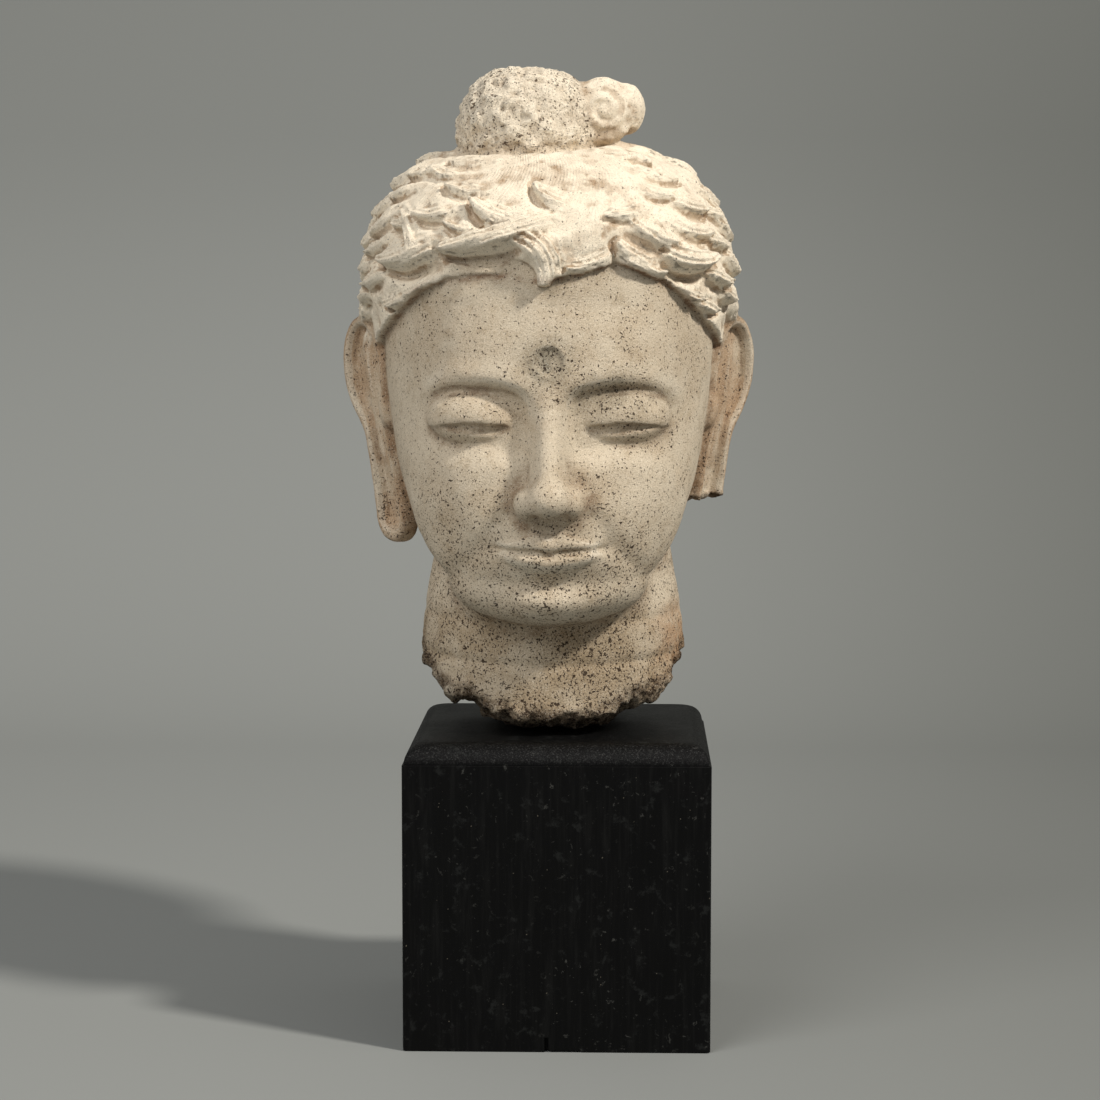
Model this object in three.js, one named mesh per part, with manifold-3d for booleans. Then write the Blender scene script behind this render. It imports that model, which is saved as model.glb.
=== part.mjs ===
// A stucco head with a high bun of hair, broken off at the neck, on a black painted wood block.
// Millimetres, +Z up. The face looks along -Y and +X is to the viewer's right.
// The origin is the middle of the block's underside.
import * as THREE from "three";
import { mergeVertices } from "three/addons/utils/BufferGeometryUtils.js";
import Module from "manifold-3d";

const wasm = await Module();
wasm.setup();

// Driving dimensions
const PLINTH_WIDTH = 142;
const PLINTH_DEPTH = 142;
const PLINTH_HEIGHT = 143;
const TOP_ROUND = 9.5;
const ROUND_STEP = 0.8;
const CORNER_ROUND = 1.6;
const SLIT_WIDTH = 1.9;
const SLIT_HEIGHT = 7;
const GAP_WIDTH = 17;
const GAP_HEIGHT = 0.9;
const SLIT_DEPTH = 3;
const SLIT_LEFT = -5.5;
const HEAD_HEIGHT = 312;
const HEAD_LEFT = 5.5;
const HEAD_TURN = 1.6;
const REST_GAP = 0.3;

// The head's form is worked out for this height from seat to crown and then scaled to HEAD_HEIGHT
const FORM_HEIGHT = 312;

// Places on the face, by the rule of equal thirds from the chin up
const CHIN_Z = 54;
const THIRD = 53;
const NOSE_Z = CHIN_Z + THIRD;
const BROW_Z = CHIN_Z + 2 * THIRD;
const MOUTH_Z = NOSE_Z - THIRD / 3;
const MARK_Z = BROW_Z + 15;
const SKULL_TOP = 269;
const JAW_Z = 76;
const WIDE_Z = 200;
const SQUARENESS = 2.35;
const CROWN_SQUARENESS = 2.75;

// Eyes: middle of the ball, its radii, its turn outwards and how far each lid stands over it
const EYE_X = 31.5;
const EYE_DEPTH = 63.5;
const EYE_Z = 149;
const EYE_RADII = [21.5, 17.6, 13.4];
const EYE_TURN = 0.16;
const UPPER_LID = 2.3;
const LOWER_LID = 1.4;
const LID_REACH = 17;

// Nose: round cones as start, end and their radii, and ellipsoids as middle and radii
const NOSE_BRIDGE = [[0, -76.5, 160], [0, -90, 116], 7, 8.6];
const NOSE_RIDGE = [[0, -83.5, 158], [0, -98.5, 117], 3.6, 5];
const NOSE_TIP = [[0, -97, 113.6], [9.2, 9, 7.6]];
const NOSE_WING = [[9.6, -87.5, 111.6], [6.2, 10.5, 6.8]];

// Mouth: half width, and the fullness and height of each lip
const MOUTH_HALF = 24.5;
const UPPER_LIP = { full: 3.4, tall: 8.6 };
const LOWER_LIP = { full: 3.9, tall: 9.4 };
const MARK_RADIUS = 7;

// Half width, front and back of the bare head by height
const HALF_WIDTH = [[76, 46], [88, 55.5], [104, 63.5], [125, 70.5], [150, 75], [175, 77.5], [200, 78.5]];
const FRONT = [[76, 79], [88, 81.5], [104, 83.5], [125, 84], [150, 84.5], [175, 86], [200, 83]];
const BACK = [[76, -8], [88, 14], [104, 44], [125, 74], [150, 92], [175, 98], [200, 98]];

// Neck: middle, half width and half depth by height
const NECK = { x: 2, y: 6, top: 140 };
const NECK_WIDE = [[-10, 58], [12, 61], [40, 62.5], [60, 61], [78, 57.5], [110, 52], [150, 50]];
const NECK_DEEP = [[-10, 53], [12, 55], [40, 55], [60, 53], [78, 51], [110, 52], [150, 54]];

// Hair: middle and radii of the scalp, radii over the locks, and the hairline's height by azimuth
const SCALP = { y: 5, z: 195, rx: 86, ry: 98, rz: 76 };
const OUTER_HAIR = { rx: 94, rz: 84 };
const LOCK_SPAN = 92;
const HAIRLINE = [
  [0, 211.5], [18, 213.5], [36, 210], [48, 201], [56, 194], [66, 188], [78, 184], [92, 172],
  [104, 140], [125, 104], [150, 92], [180, 88],
];
const HAIRLINE_RAISED = { x: 31, half: 15, height: 5.5 };
const HAIR_AT_EDGE = 4.6;
const HAIR_ABOVE_EDGE = 9.5;
const FRINGE_HOLLOW = { x: -13, z: 214, wide: 8, tall: 5, deep: 4.5 };
const FRINGE_DIP = { x: -30, wide: 24, deep: 2.8 };

// Locks that show from the front: start x and z, tip x and z, turn in degrees, half width, height
const FRONT_LOCKS = [
  [-25, 233, -3, 212, -108, 8.6, 7.7],
  [13, 247, -48, 226, -42, 7.2, 7.8],
  [0, 240, -33, 246, -85, 5.6, 6.6],
  [14, 243, -6, 254, -60, 4.8, 5.4],
  [-20, 252, -44, 252, -50, 5, 3.6],
  [-44, 233, -77, 221, -52, 7.2, 7.8],
  [-58, 249, -80, 232, -46, 5.8, 6],
  [-68, 244, -62, 223, -70, 5, 6],
  [-34, 246, -58, 240, -60, 5.2, 5.4],
  [-42, 271, -62, 268, -44, 5.6, 5.4],
  [-48, 263, -75, 258, -48, 5.6, 6],
  [-62, 253, -86, 245, -48, 5.8, 6.2],
  [-72, 240, -92, 231, -48, 5.8, 6.2],
  [-78, 227, -95, 220, -48, 5.6, 6],
  [-82, 214, -94, 205, -44, 5.4, 5.5],
  [-14, 266, -42, 262, -40, 5.6, 2.9],
  [-48, 221, -71, 206, -30, 5, 3.8],
  [38, 233, 10, 219, -34, 6.4, 3.4],
  [31, 244, 56, 228, 48, 6.4, 5.5],
  [43, 252, 69, 242, 58, 5.6, 5.8],
  [48, 241, 72, 233, 62, 5.6, 5.8],
  [45, 233, 75, 222, 84, 7, 8.4],
  [58, 215, 76, 204, 40, 5.2, 4.1],
  [28, 265, 43, 261, -110, 4.6, 4.8],
  [33, 261, 55, 254, 42, 5, 3.4],
  [46, 270, 71, 263, 42, 5.8, 5.3],
  [55, 258, 81, 249, 46, 5.8, 5.5],
  [66, 246, 89, 233, 46, 6, 5.8],
  [74, 232, 95, 218, 52, 6.4, 6.7],
  [78, 216, 92, 203, 44, 5.6, 5.3],
  [-40, 262, -60, 256, -60, 4.2, 4.3],
  [-30, 258, -50, 260, -70, 4, 3.4],
  [-50, 256, -69, 247, -56, 4.2, 4.8],
  [-64, 238, -85, 225, -58, 4.6, 5.5],
  [-52, 241, -69, 237, -70, 4, 4.6],
  [-68, 224, -90, 211, -52, 4.6, 5.3],
  [-60, 214, -82, 201, -44, 4.6, 4.6],
  [-24, 236, -46, 237, -50, 4, 3.6],
  [36, 254, 53, 247, 60, 4, 4.1],
  [57, 250, 78, 240, 60, 4.4, 4.8],
  [58, 240, 83, 228, 60, 4.6, 5.3],
  [64, 226, 88, 212, 62, 4.8, 5.8],
  [52, 264, 70, 254, 46, 4.2, 4.1],
  [38, 226, 57, 216, 50, 4.6, 4.1],
  [68, 210, 86, 198, 40, 4.6, 4.3],
  [57, 221, 33, 229, -72, 6.8, 5.4],
  [45, 246, 26, 240, -44, 4.4, 3.6],
];

// Rows of locks round the sides and back: elevation, count, first azimuth, drop, half width, height
const BACK_ROWS = [
  [70, 4, 58, 13, 7.2, 2.6],
  [57, 6, 66, 14, 7.2, 3.4],
  [43, 7, 74, 15, 7.2, 4],
  [28, 8, 82, 16, 7.2, 4.4],
  [13, 8, 82, 16, 7.2, 4.6],
  [-2, 8, 92, 16, 7, 4.6],
  [-17, 8, 104, 15, 6.8, 4.4],
  [-31, 7, 116, 14, 6.4, 4.2],
  [-45, 6, 126, 12, 6, 3.8],
];
const LOCK_STEPS = 7;
const LOCK_SOFTNESS = 1.9;
const LOCK_PATCH = [[0, 0], [1, 0], [-1, 0], [0, 1], [0, -1]];
const LOCK_REACH = 24;

// Bun: middle and radii
const BUN_MIDDLE = [-10, -6, 281];
const BUN_RADII = [33.5, 34, 33.5];

// Side curl: a scroll, a lobe behind it and a lip along the lower part of a ring
const SCROLL = [[27, -13, 292], [13.8, 13, 15]];
const SCROLL_LOBE = [[37.5, -9, 294], [8.6, 12, 13.5]];
const SCROLL_LIP = { x: 27.5, y: -18, z: 292.5, ring: 12, thick: 3.8 };

// Ears: tilt from the side plane, place, root's distance from the middle by height, and their shapes
const EAR_TILT = 38;
const EAR_Y = 2;
const EAR_ROOT = [[80, 67], [105, 69.5], [130, 73], [155, 77], [180, 79.5], [200, 81]];
const EAR_UPPER = { along: 10.5, z: 168, half: 17.5, tall: 27 };
const EAR_LOBE = [[7.5, 0, 152], [6, 0, 98.5], 9.6, 12];
const EAR_OUTSIDE = 5.4;
const EAR_INSIDE = 4.5;
const EAR_HOLLOW = 5.2;
const EAR_TOP_Z = 193;
const LOBE_END_Z = EAR_LOBE[1][2] - EAR_LOBE[3];
const LOBE_BREAK_Z = 108;

const radians = THREE.MathUtils.degToRad;
const smooth = (low, high, value) => {
  const t = Math.min(Math.max((value - low) / (high - low), 0), 1);
  return t * t * (3 - 2 * t);
};
const bump = (value, width) => Math.exp(-((value / width) ** 2));

// Distances: negative inside. join is a rounded union and keepBoth a rounded intersection
const join = (a, b, blend) => {
  const h = Math.min(Math.max(0.5 + (0.5 * (b - a)) / blend, 0), 1);
  return b * (1 - h) + a * h - blend * h * (1 - h);
};
const keepBoth = (a, b, blend) => -join(-a, -b, blend);

function ellipsoid(x, y, z, [cx, cy, cz], [rx, ry, rz]) {
  const qx = (x - cx) / rx;
  const qy = (y - cy) / ry;
  const qz = (z - cz) / rz;
  const k0 = Math.hypot(qx, qy, qz);
  const k1 = Math.hypot(qx / rx, qy / ry, qz / rz);
  return (k0 * (k0 - 1)) / Math.max(k1, 1e-9);
}

function roundCone(x, y, z, start, end, startRadius, endRadius) {
  const [ax, ay, az] = end.map((v, i) => v - start[i]);
  const [px, py, pz] = [x - start[0], y - start[1], z - start[2]];
  const along = (px * ax + py * ay + pz * az) / (ax * ax + ay * ay + az * az);
  const t = Math.min(Math.max(along, 0), 1);
  const away = Math.hypot(px - ax * t, py - ay * t, pz - az * t);
  return away - (startRadius + (endRadius - startRadius) * t);
}

// A smooth line through [height, value] knots
function profile(knots, at) {
  const last = knots.length - 1;
  const clamped = Math.min(Math.max(at, knots[0][0]), knots[last][0]);
  let i = 0;
  while (i < last - 1 && clamped >= knots[i + 1][0]) {
    i += 1;
  }
  const slope = (k) => {
    const a = knots[Math.max(k - 1, 0)];
    const b = knots[Math.min(k + 1, last)];
    return (b[1] - a[1]) / (b[0] - a[0]);
  };
  const [z0, v0] = knots[i];
  const [z1, v1] = knots[i + 1];
  const h = z1 - z0;
  const t = (clamped - z0) / h;
  const start = (1 + 2 * t) * (1 - t) ** 2 * v0 + t * (1 - t) ** 2 * h * slope(i);
  return start + t * t * (3 - 2 * t) * v1 + t * t * (t - 1) * h * slope(i + 1);
}

// The bare head is a superellipse at each height, rounded over at the crown and the jaw
function skullRatio(x, y, z) {
  const level = Math.min(Math.max(z, JAW_Z), WIDE_Z);
  const front = profile(FRONT, level);
  const back = profile(BACK, level);
  const crown = Math.max(z - WIDE_Z, 0) / (SKULL_TOP - WIDE_Z);
  const jaw = Math.max(JAW_Z - z, 0) / (JAW_Z - CHIN_Z);
  const depth = ((front + back) / 2) * (1 - 0.13 * Math.min(crown, 1.2) ** 2);
  const flat = Math.abs(x / profile(HALF_WIDTH, level)) ** SQUARENESS
    + Math.abs((y - (back - front) / 2) / depth) ** SQUARENESS;
  const power = z > JAW_Z ? CROWN_SQUARENESS : SQUARENESS;
  return (flat ** (power / SQUARENESS) + (crown + jaw) ** power) ** (1 / power);
}

function skull(x, y, z) {
  const step = 0.5;
  const ratio = skullRatio(x, y, z);
  const slope = Math.hypot(
    skullRatio(x + step, y, z) - ratio,
    skullRatio(x, y + step, z) - ratio,
    skullRatio(x, y, z + step) - ratio,
  ) / step;
  return (ratio - 1) / Math.max(slope, 0.004);
}

function brows(ax, z) {
  const arch = BROW_Z + 6 - 9 * ((ax - 33) / 30) ** 2;
  const depth = 4 + 4.5 * bump(ax - 17, 12);
  const socket = depth * smooth(1.5, -4.5, z - arch) * smooth(EYE_Z - 24, EYE_Z - 4, z)
    * smooth(62, 40, ax) * smooth(5, 16, ax);
  return 2 * bump(z - arch - 2.5, 6) * smooth(2, 14, ax) * smooth(66, 45, ax) - socket;
}

function cheeksAndChin(ax, z) {
  const cheek = 3.6 * bump(ax - 43, 24) * bump(z - 113, 24);
  const muzzle = 3.2 * bump(ax, 27) * bump(z - 92, 17);
  const fold = 1.6 * bump(ax - (15 + 0.75 * (112 - z)), 6) * smooth(112, 104, z) * smooth(74, 86, z);
  const chin = 4.6 * bump(ax, 17) * bump(z - 63.5, 10.5);
  const dip = 3.2 * bump(ax, 24) * bump(z - 74, 5.2);
  const temple = 1.8 * bump(ax - 66, 14) * bump(z - 172, 26);
  return cheek + muzzle - fold + chin - dip - temple;
}

function nose(ax, y, z) {
  const bridge = roundCone(ax, y, z, ...NOSE_BRIDGE);
  const ridge = roundCone(ax, y, z, ...NOSE_RIDGE);
  const tip = ellipsoid(ax, y, z, ...NOSE_TIP);
  const wing = ellipsoid(ax, y, z, ...NOSE_WING);
  return join(join(join(bridge, ridge, 5), tip, 5), wing, 4.5);
}

// Lowered lids over a round ball: the upper one stands proud of the lower
function eye(ax, y, z) {
  const u = ax - EYE_X;
  const v = y + EYE_DEPTH;
  const lx = u * Math.cos(EYE_TURN) + v * Math.sin(EYE_TURN);
  const ly = v * Math.cos(EYE_TURN) - u * Math.sin(EYE_TURN);
  const ball = ellipsoid(lx, ly, z, [0, 0, EYE_Z + 0.5], EYE_RADII);
  const upperEdge = EYE_Z - 3.4 + 1.6 * (1 - (u / LID_REACH) ** 2) + 0.03 * u;
  const lowerEdge = EYE_Z - 4.6 - 3 * Math.max(1 - ((u + 1) / LID_REACH) ** 2, -0.3) + 0.03 * u;
  const upper = keepBoth(ball - UPPER_LID, (upperEdge - z) * 0.9, 1);
  const lower = keepBoth(ball - LOWER_LID, (z - lowerEdge) * 0.9, 1);
  return join(join(ball, upper, 0.5), lower, 0.5);
}

function lips(ax, z) {
  const t = Math.min(ax / MOUTH_HALF, 1);
  const v = z - (MOUTH_Z + 1.6 * t ** 2 - 0.9 * bump(ax, 4.5));
  const fade = Math.sqrt(Math.max(1 - t ** 2.2, 0)) * smooth(1, 0.72, t);
  const tall = UPPER_LIP.tall * (1 - 0.75 * t ** 1.5) + bump(ax - 6, 3.5);
  const deep = LOWER_LIP.tall * (1 - 0.62 * t ** 2);
  const upper = v > -1 ? Math.max(1 - ((v - 0.42 * tall) / (0.6 * tall + 0.1)) ** 2, 0) ** 0.8 : 0;
  const lower = v < 1 ? Math.max(1 - ((v + 0.46 * deep) / (0.56 * deep + 0.1)) ** 2, 0) ** 0.7 : 0;
  const slit = 2.3 * bump(v, 1.5) * smooth(MOUTH_HALF + 3, MOUTH_HALF - 2.5, ax);
  const corner = 1.6 * bump(ax - MOUTH_HALF - 1.5, 3.2) * bump(v, 3.6);
  return (UPPER_LIP.full * upper + LOWER_LIP.full * lower) * fade - slit - corner;
}

function face(x, y, z, bare) {
  const ax = Math.abs(x);
  const front = smooth(-25, -50, y);
  let d = bare - (brows(ax, z) + cheeksAndChin(ax, z)) * front;
  d = join(d, nose(ax, y, z), 6);
  d = join(d, eye(ax, y, z), 2.2);
  d -= lips(ax, z) * smooth(-60, -70, y);
  return d + front * 1.3 * smooth(MARK_RADIUS, MARK_RADIUS - 1.4, Math.hypot(x, z - MARK_Z));
}

function neck(x, y, z) {
  const a = profile(NECK_WIDE, z);
  const b = profile(NECK_DEEP, z);
  const side = (Math.hypot((x - NECK.x) / a, (y - NECK.y) / b) - 1) * Math.min(a, b);
  return Math.max(side, z - NECK.top);
}

// The broken underside: a flat seat in the middle, rising to a rough rim
function breakLevel(x, y) {
  const away = Math.abs(x - NECK.x);
  const sides = 13 * smooth(16, 46, away) + 26 * smooth(45, 68, away);
  const rough = 1.3 * Math.sin(x * 0.31 + 1.3) * Math.sin(y * 0.27 + 0.4);
  const rim = smooth(18, 34, Math.hypot(x - NECK.x, y - NECK.y));
  return sides + 8 * smooth(-14, -46, y) + 11 * smooth(38, 62, y) + rough * rim;
}

function onScalp(x, y, z) {
  return new THREE.Vector3(x / SCALP.rx, (y - SCALP.y) / SCALP.ry, (z - SCALP.z) / SCALP.rz).normalize();
}

function facing(x, z) {
  const qx = x / OUTER_HAIR.rx;
  const qz = (z - SCALP.z) / OUTER_HAIR.rz;
  return new THREE.Vector3(qx, -Math.sqrt(Math.max(0, 1 - qx * qx - qz * qz)), qz).normalize();
}

function pointing(azimuth, elevation) {
  const a = radians(azimuth);
  const e = radians(elevation);
  return new THREE.Vector3(Math.sin(a) * Math.cos(e), -Math.cos(a) * Math.cos(e), Math.sin(e));
}

// A lock's path is a line that turns more and more towards its tip, laid on the chord from start to tip
function makeLock(start, tip, turn, halfWidth, height) {
  const middle = start.clone().add(tip).normalize();
  const across = middle.clone().cross(tip.clone().sub(start)).normalize();
  const along = across.clone().cross(middle);
  const chord = LOCK_SPAN * 2 * Math.asin(Math.min(1, start.distanceTo(tip) / 2));
  const path = [new THREE.Vector2()];
  for (let i = 0; i < LOCK_STEPS; i += 1) {
    const heading = radians(turn) * ((i + 0.5) / LOCK_STEPS) ** 1.5;
    path.push(path[i].clone().add(new THREE.Vector2(Math.cos(heading), Math.sin(heading))));
  }
  const whole = path[LOCK_STEPS].clone();
  const scale = chord / whole.length();
  const bend = -whole.angle();
  for (const point of path) {
    point.rotateAround(new THREE.Vector2(), bend).multiplyScalar(scale);
    point.x -= chord / 2;
  }
  const reach = Math.min((1.25 * (chord / 2 + 1.6 * halfWidth + 3)) / LOCK_SPAN, 1.4);
  return { middle, across, along, path, length: scale * LOCK_STEPS, halfWidth, height, reach };
}

function makeLocks() {
  const front = ([x0, z0, x1, z1, ...rest]) => makeLock(facing(x0, z0), facing(x1, z1), ...rest);
  const locks = FRONT_LOCKS.map(front);
  BACK_ROWS.forEach(([elevation, count, first, drop, halfWidth, height], row) => {
    const shift = 0.5 * (row % 2);
    for (let i = 0; i < count; i += 1) {
      const azimuth = first + ((360 - 2 * first) * (i + shift * 0.9)) / (count - 1 + 0.9 * shift);
      const side = azimuth < 180 ? 1 : -1;
      const vary = Math.sin(i * 2.1 + row * 1.7);
      const run = (11 + 4 * vary) / Math.cos(radians(Math.min(Math.abs(elevation), 62)));
      const start = pointing(azimuth, elevation + 5);
      const tip = pointing(azimuth + side * run, elevation - drop);
      locks.push(makeLock(start, tip, side * (62 + 22 * vary), halfWidth * (1 + 0.08 * vary), height));
    }
  });
  return locks;
}
const LOCKS = makeLocks();

// Nearest place on a lock's path: share of its length, and signed distance to the side
function alongPath(lock, u, v) {
  let best = { gap: Infinity, side: 0, share: 0 };
  for (let i = 0; i < LOCK_STEPS; i += 1) {
    const from = lock.path[i];
    const edge = lock.path[i + 1].clone().sub(from);
    const run = ((u - from.x) * edge.x + (v - from.y) * edge.y) / edge.lengthSq();
    const on = Math.min(Math.max(run, 0), 1);
    const gap = Math.hypot(u - from.x - on * edge.x, v - from.y - on * edge.y);
    if (gap < best.gap) {
      const side = ((v - from.y) * edge.x - (u - from.x) * edge.y) / edge.length();
      const share = Math.min(Math.max(run, i === 0 ? -9 : 0), i === LOCK_STEPS - 1 ? 9 : 1);
      best = { gap, side, share: (i + share) / LOCK_STEPS };
    }
  }
  return best;
}

// Height of a lock at a place on the scalp, and how far it covers. The crest lies near the lower side,
// which falls into a valley, and the upper side runs out softly
function lockAt(lock, u, v) {
  const { side, share } = alongPath(lock, u, v);
  const on = Math.min(Math.max(share, 0), 1);
  const half = lock.halfWidth * (0.5 + 0.6 * Math.sin(Math.PI * (0.1 + 0.5 * on))) * (1 - 0.65 * on ** 3);
  const off = side / half;
  const low = lock.across.z > 0 ? -off : off;
  const pastTip = (Math.max(share - 1, 0) * lock.length) / half;
  const fall = Math.hypot(Math.max(low, 0), pastTip);
  const even = Math.hypot(off, pastTip);
  const soft = Math.min(1, 1.5 * Math.abs(lock.across.z));
  const drop = 0.62 - 1.2 * smooth(0.4, 1.15, fall) + 0.58 * smooth(1.15, 2.3, fall);
  const slanted = smooth(-2.1, 0.3, low) * drop;
  const roundTop = 0.75 - 1.15 * smooth(0.25, 1.1, even) + 0.4 * smooth(1.1, 1.9, even);
  const height = lock.height * (soft * slanted + (1 - soft) * roundTop) * smooth(-0.05, 0.75, share);
  const cover = smooth(1.02, 0.86, Math.hypot(low, pastTip)) * smooth(0, 0.3, on);
  return { height, cover };
}

// All the locks' height and cover at a direction from the scalp's middle
function locksAt(q) {
  let crest = 0;
  let valley = 0;
  let cover = 0;
  for (const lock of LOCKS) {
    const facingLock = lock.middle.dot(q);
    if (facingLock < Math.cos(lock.reach)) {
      continue;
    }
    const u = LOCK_SPAN * Math.atan2(lock.along.dot(q), facingLock);
    const v = LOCK_SPAN * Math.asin(Math.min(Math.max(lock.across.dot(q), -1), 1));
    const here = lockAt(lock, u, v);
    crest = Math.max(crest, here.height);
    valley = Math.max(valley, -here.height);
    cover = Math.max(cover, here.cover);
  }
  return { height: crest - valley * (1 - smooth(0.3, 2.6, crest)), cover };
}

// The locks' height and cover, averaged over a small patch so that the facets follow them softly
function softLocks(x, y, z) {
  const mean = { height: 0, cover: 0 };
  for (const [du, dv] of LOCK_PATCH) {
    const level = Math.abs(y - SCALP.y) + Math.abs(x) + 1e-6;
    const { height, cover } = locksAt(onScalp(
      x - (LOCK_SOFTNESS * du * (y - SCALP.y)) / level,
      y + (LOCK_SOFTNESS * du * x) / level,
      z + LOCK_SOFTNESS * dv,
    ));
    mean.height += height / LOCK_PATCH.length;
    mean.cover += cover / LOCK_PATCH.length;
  }
  return mean;
}

function aboveHairline(x, y, z) {
  const azimuth = THREE.MathUtils.radToDeg(Math.atan2(Math.abs(x), SCALP.y - y));
  const raised = HAIRLINE_RAISED.height * bump(x - HAIRLINE_RAISED.x, HAIRLINE_RAISED.half);
  return z - profile(HAIRLINE, azimuth) - raised * smooth(0, -30, y);
}

function hair(x, y, z, bare) {
  const above = aboveHairline(x, y, z);
  const { height, cover } = softLocks(x, y, z);
  const hanging = 0.8 + 2.4 * bump(x + 4, 9);
  const covered = Math.max(smooth(-1.6, 1.4, above), cover * smooth(-1.3, -0.9, above / hanging));
  const hollow = FRINGE_HOLLOW;
  const dip = FRINGE_DIP;
  const body = HAIR_AT_EDGE + (HAIR_ABOVE_EDGE - HAIR_AT_EDGE) * smooth(3, 20, above)
    - hollow.deep * bump(x - hollow.x, hollow.wide) * bump(z - hollow.z, hollow.tall)
    - dip.deep * bump(x - dip.x, dip.wide) * smooth(11, 4, above);
  return bare - ((body + height) * covered - 4 * (1 - covered));
}

function headForm(x, y, z) {
  const bare = skull(x, y, z);
  const skin = join(face(x, y, z, bare), neck(x, y, z), 9);
  const nearHair = bare < LOCK_REACH;
  const whole = nearHair ? join(skin, hair(x, y, z, bare), 1.2) : Math.min(skin, bare - LOCK_REACH + 1);
  return Math.max(keepBoth(whole, (breakLevel(x, y) - z) * 0.85, 2), -z);
}

function bunForm(x, y, z) {
  const ball = keepBoth(ellipsoid(x, y, z, BUN_MIDDLE, BUN_RADII), z - FORM_HEIGHT, 9);
  return ball - 1.2 * Math.sin(x * 0.35 + 1) * Math.sin(z * 0.41 + 0.5) * Math.sin(y * 0.33 + 2);
}

function curlForm(x, y, z) {
  const lip = SCROLL_LIP;
  const ring = Math.hypot(x - lip.x, z - lip.z);
  const turn = Math.atan2(z - lip.z, x - lip.x);
  const fade = 5 * smooth(0.9, 1.5, Math.abs(turn + 1.75));
  const underneath = Math.hypot(ring - lip.ring, y - lip.y) - lip.thick + fade;
  return join(join(ellipsoid(x, y, z, ...SCROLL), ellipsoid(x, y, z, ...SCROLL_LOBE), 3), underneath, 1.6);
}

// An ear is a tilted plate with a hollow inside its rim; side is 1 at +X
function earForm(side, x, y, z) {
  const tilt = radians(EAR_TILT);
  const lx = x * side - profile(EAR_ROOT, z);
  const ly = y - EAR_Y;
  const along = lx * Math.sin(tilt) + ly * Math.cos(tilt);
  const out = lx * Math.cos(tilt) - ly * Math.sin(tilt);
  const upper = Math.hypot((along - EAR_UPPER.along) / EAR_UPPER.half, (z - EAR_UPPER.z) / EAR_UPPER.tall);
  const flat = join((upper - 1) * EAR_UPPER.half, roundCone(along, 0, z, ...EAR_LOBE), 8);
  const hollow = EAR_HOLLOW * smooth(-3.2, -6.4, flat) * smooth(LOBE_END_Z + 2, LOBE_END_Z + 14, z);
  return keepBoth(keepBoth(out - EAR_OUTSIDE + hollow, -out - EAR_INSIDE, 1.5), flat, 3);
}

// Outermost place where a ray crosses the form's surface
function castRay(form, from, direction, reach) {
  const at = (t) => form(from.x + direction.x * t, from.y + direction.y * t, from.z + direction.z * t);
  const coarse = 2;
  let inside = reach;
  while (inside > coarse && at(inside) > 0) {
    inside -= coarse;
  }
  let outside = inside + coarse;
  for (let i = 0; i < 14; i += 1) {
    const middle = (inside + outside) / 2;
    if (at(middle) > 0) {
      outside = middle;
    } else {
      inside = middle;
    }
  }
  return direction.clone().multiplyScalar(inside).add(from);
}

// A closed skin from rings of points, listed from the lowest up, with a point at either end
function skinOf(bottom, rings, top) {
  const columns = rings[0].length;
  const points = [bottom, ...rings.flat(), top];
  const last = points.length - 1;
  const index = [];
  for (let c = 0; c < columns; c += 1) {
    const next = (c + 1) % columns;
    index.push(0, 1 + next, 1 + c);
    for (let r = 0; r + 1 < rings.length; r += 1) {
      const low = 1 + r * columns;
      const high = low + columns;
      index.push(low + c, low + next, high + c, low + next, high + next, high + c);
    }
    const rim = 1 + (rings.length - 1) * columns;
    index.push(rim + c, rim + next, last);
  }
  const geometry = new THREE.BufferGeometry().setFromPoints(points);
  geometry.setIndex(index);
  return geometry;
}

// Casts rings of rays from a spine: stations hold the ray's start and its elevation
function castForm(form, stations, azimuths, reach) {
  const cast = (from, azimuth, elevation) => castRay(form, from, pointing(azimuth, elevation), reach);
  const first = stations[0];
  const final = stations[stations.length - 1];
  const ringAt = ({ from, elevation }) => azimuths.map((azimuth) => cast(from, azimuth, elevation));
  const rings = stations.map(ringAt);
  return skinOf(cast(first.from, 0, -90), rings, cast(final.from, 0, 90));
}

// Stations that fan from one elevation to another at one place
function fan(from, low, high, count) {
  const steps = Array.from({ length: count }, (_, i) => low + ((high - low) * i) / (count - 1));
  return steps.map((elevation) => ({ from, elevation }));
}

// Level stations that rise from one height to another, the last one left out
function rise(x, y, low, high, count) {
  const steps = Array.from({ length: count }, (_, i) => low + ((high - low) * i) / count);
  return steps.map((z) => ({ from: new THREE.Vector3(x, y, z), elevation: 0 }));
}

const evenAzimuths = (count) => Array.from({ length: count }, (_, i) => (360 * i) / count);

// Closer together at the face than at the back
function headAzimuths(count) {
  return Array.from({ length: count }, (_, i) => {
    const u = (2 * i) / count - 1;
    return 180 * (0.58 * u + 0.42 * u ** 3);
  });
}

function castHead() {
  const low = new THREE.Vector3(NECK.x, NECK.y, 42);
  const high = new THREE.Vector3(0, SCALP.y, 213);
  const stations = [
    ...fan(low, -80, -10, 5),
    ...rise(NECK.x, SCALP.y, 42, 72, 3),
    ...rise(0, SCALP.y, 72, 82, 2),
    ...rise(0, SCALP.y, 82, 116, 9),
    ...rise(0, SCALP.y, 116, 136, 3),
    ...rise(0, SCALP.y, 136, 160, 8),
    ...rise(0, SCALP.y, 160, 200, 4),
    ...rise(0, SCALP.y, 200, 213, 3),
    ...fan(high, 0, 52, 14),
    ...fan(high, 58, 82, 5),
  ];
  return castForm(headForm, stations, headAzimuths(72), 140);
}

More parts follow.
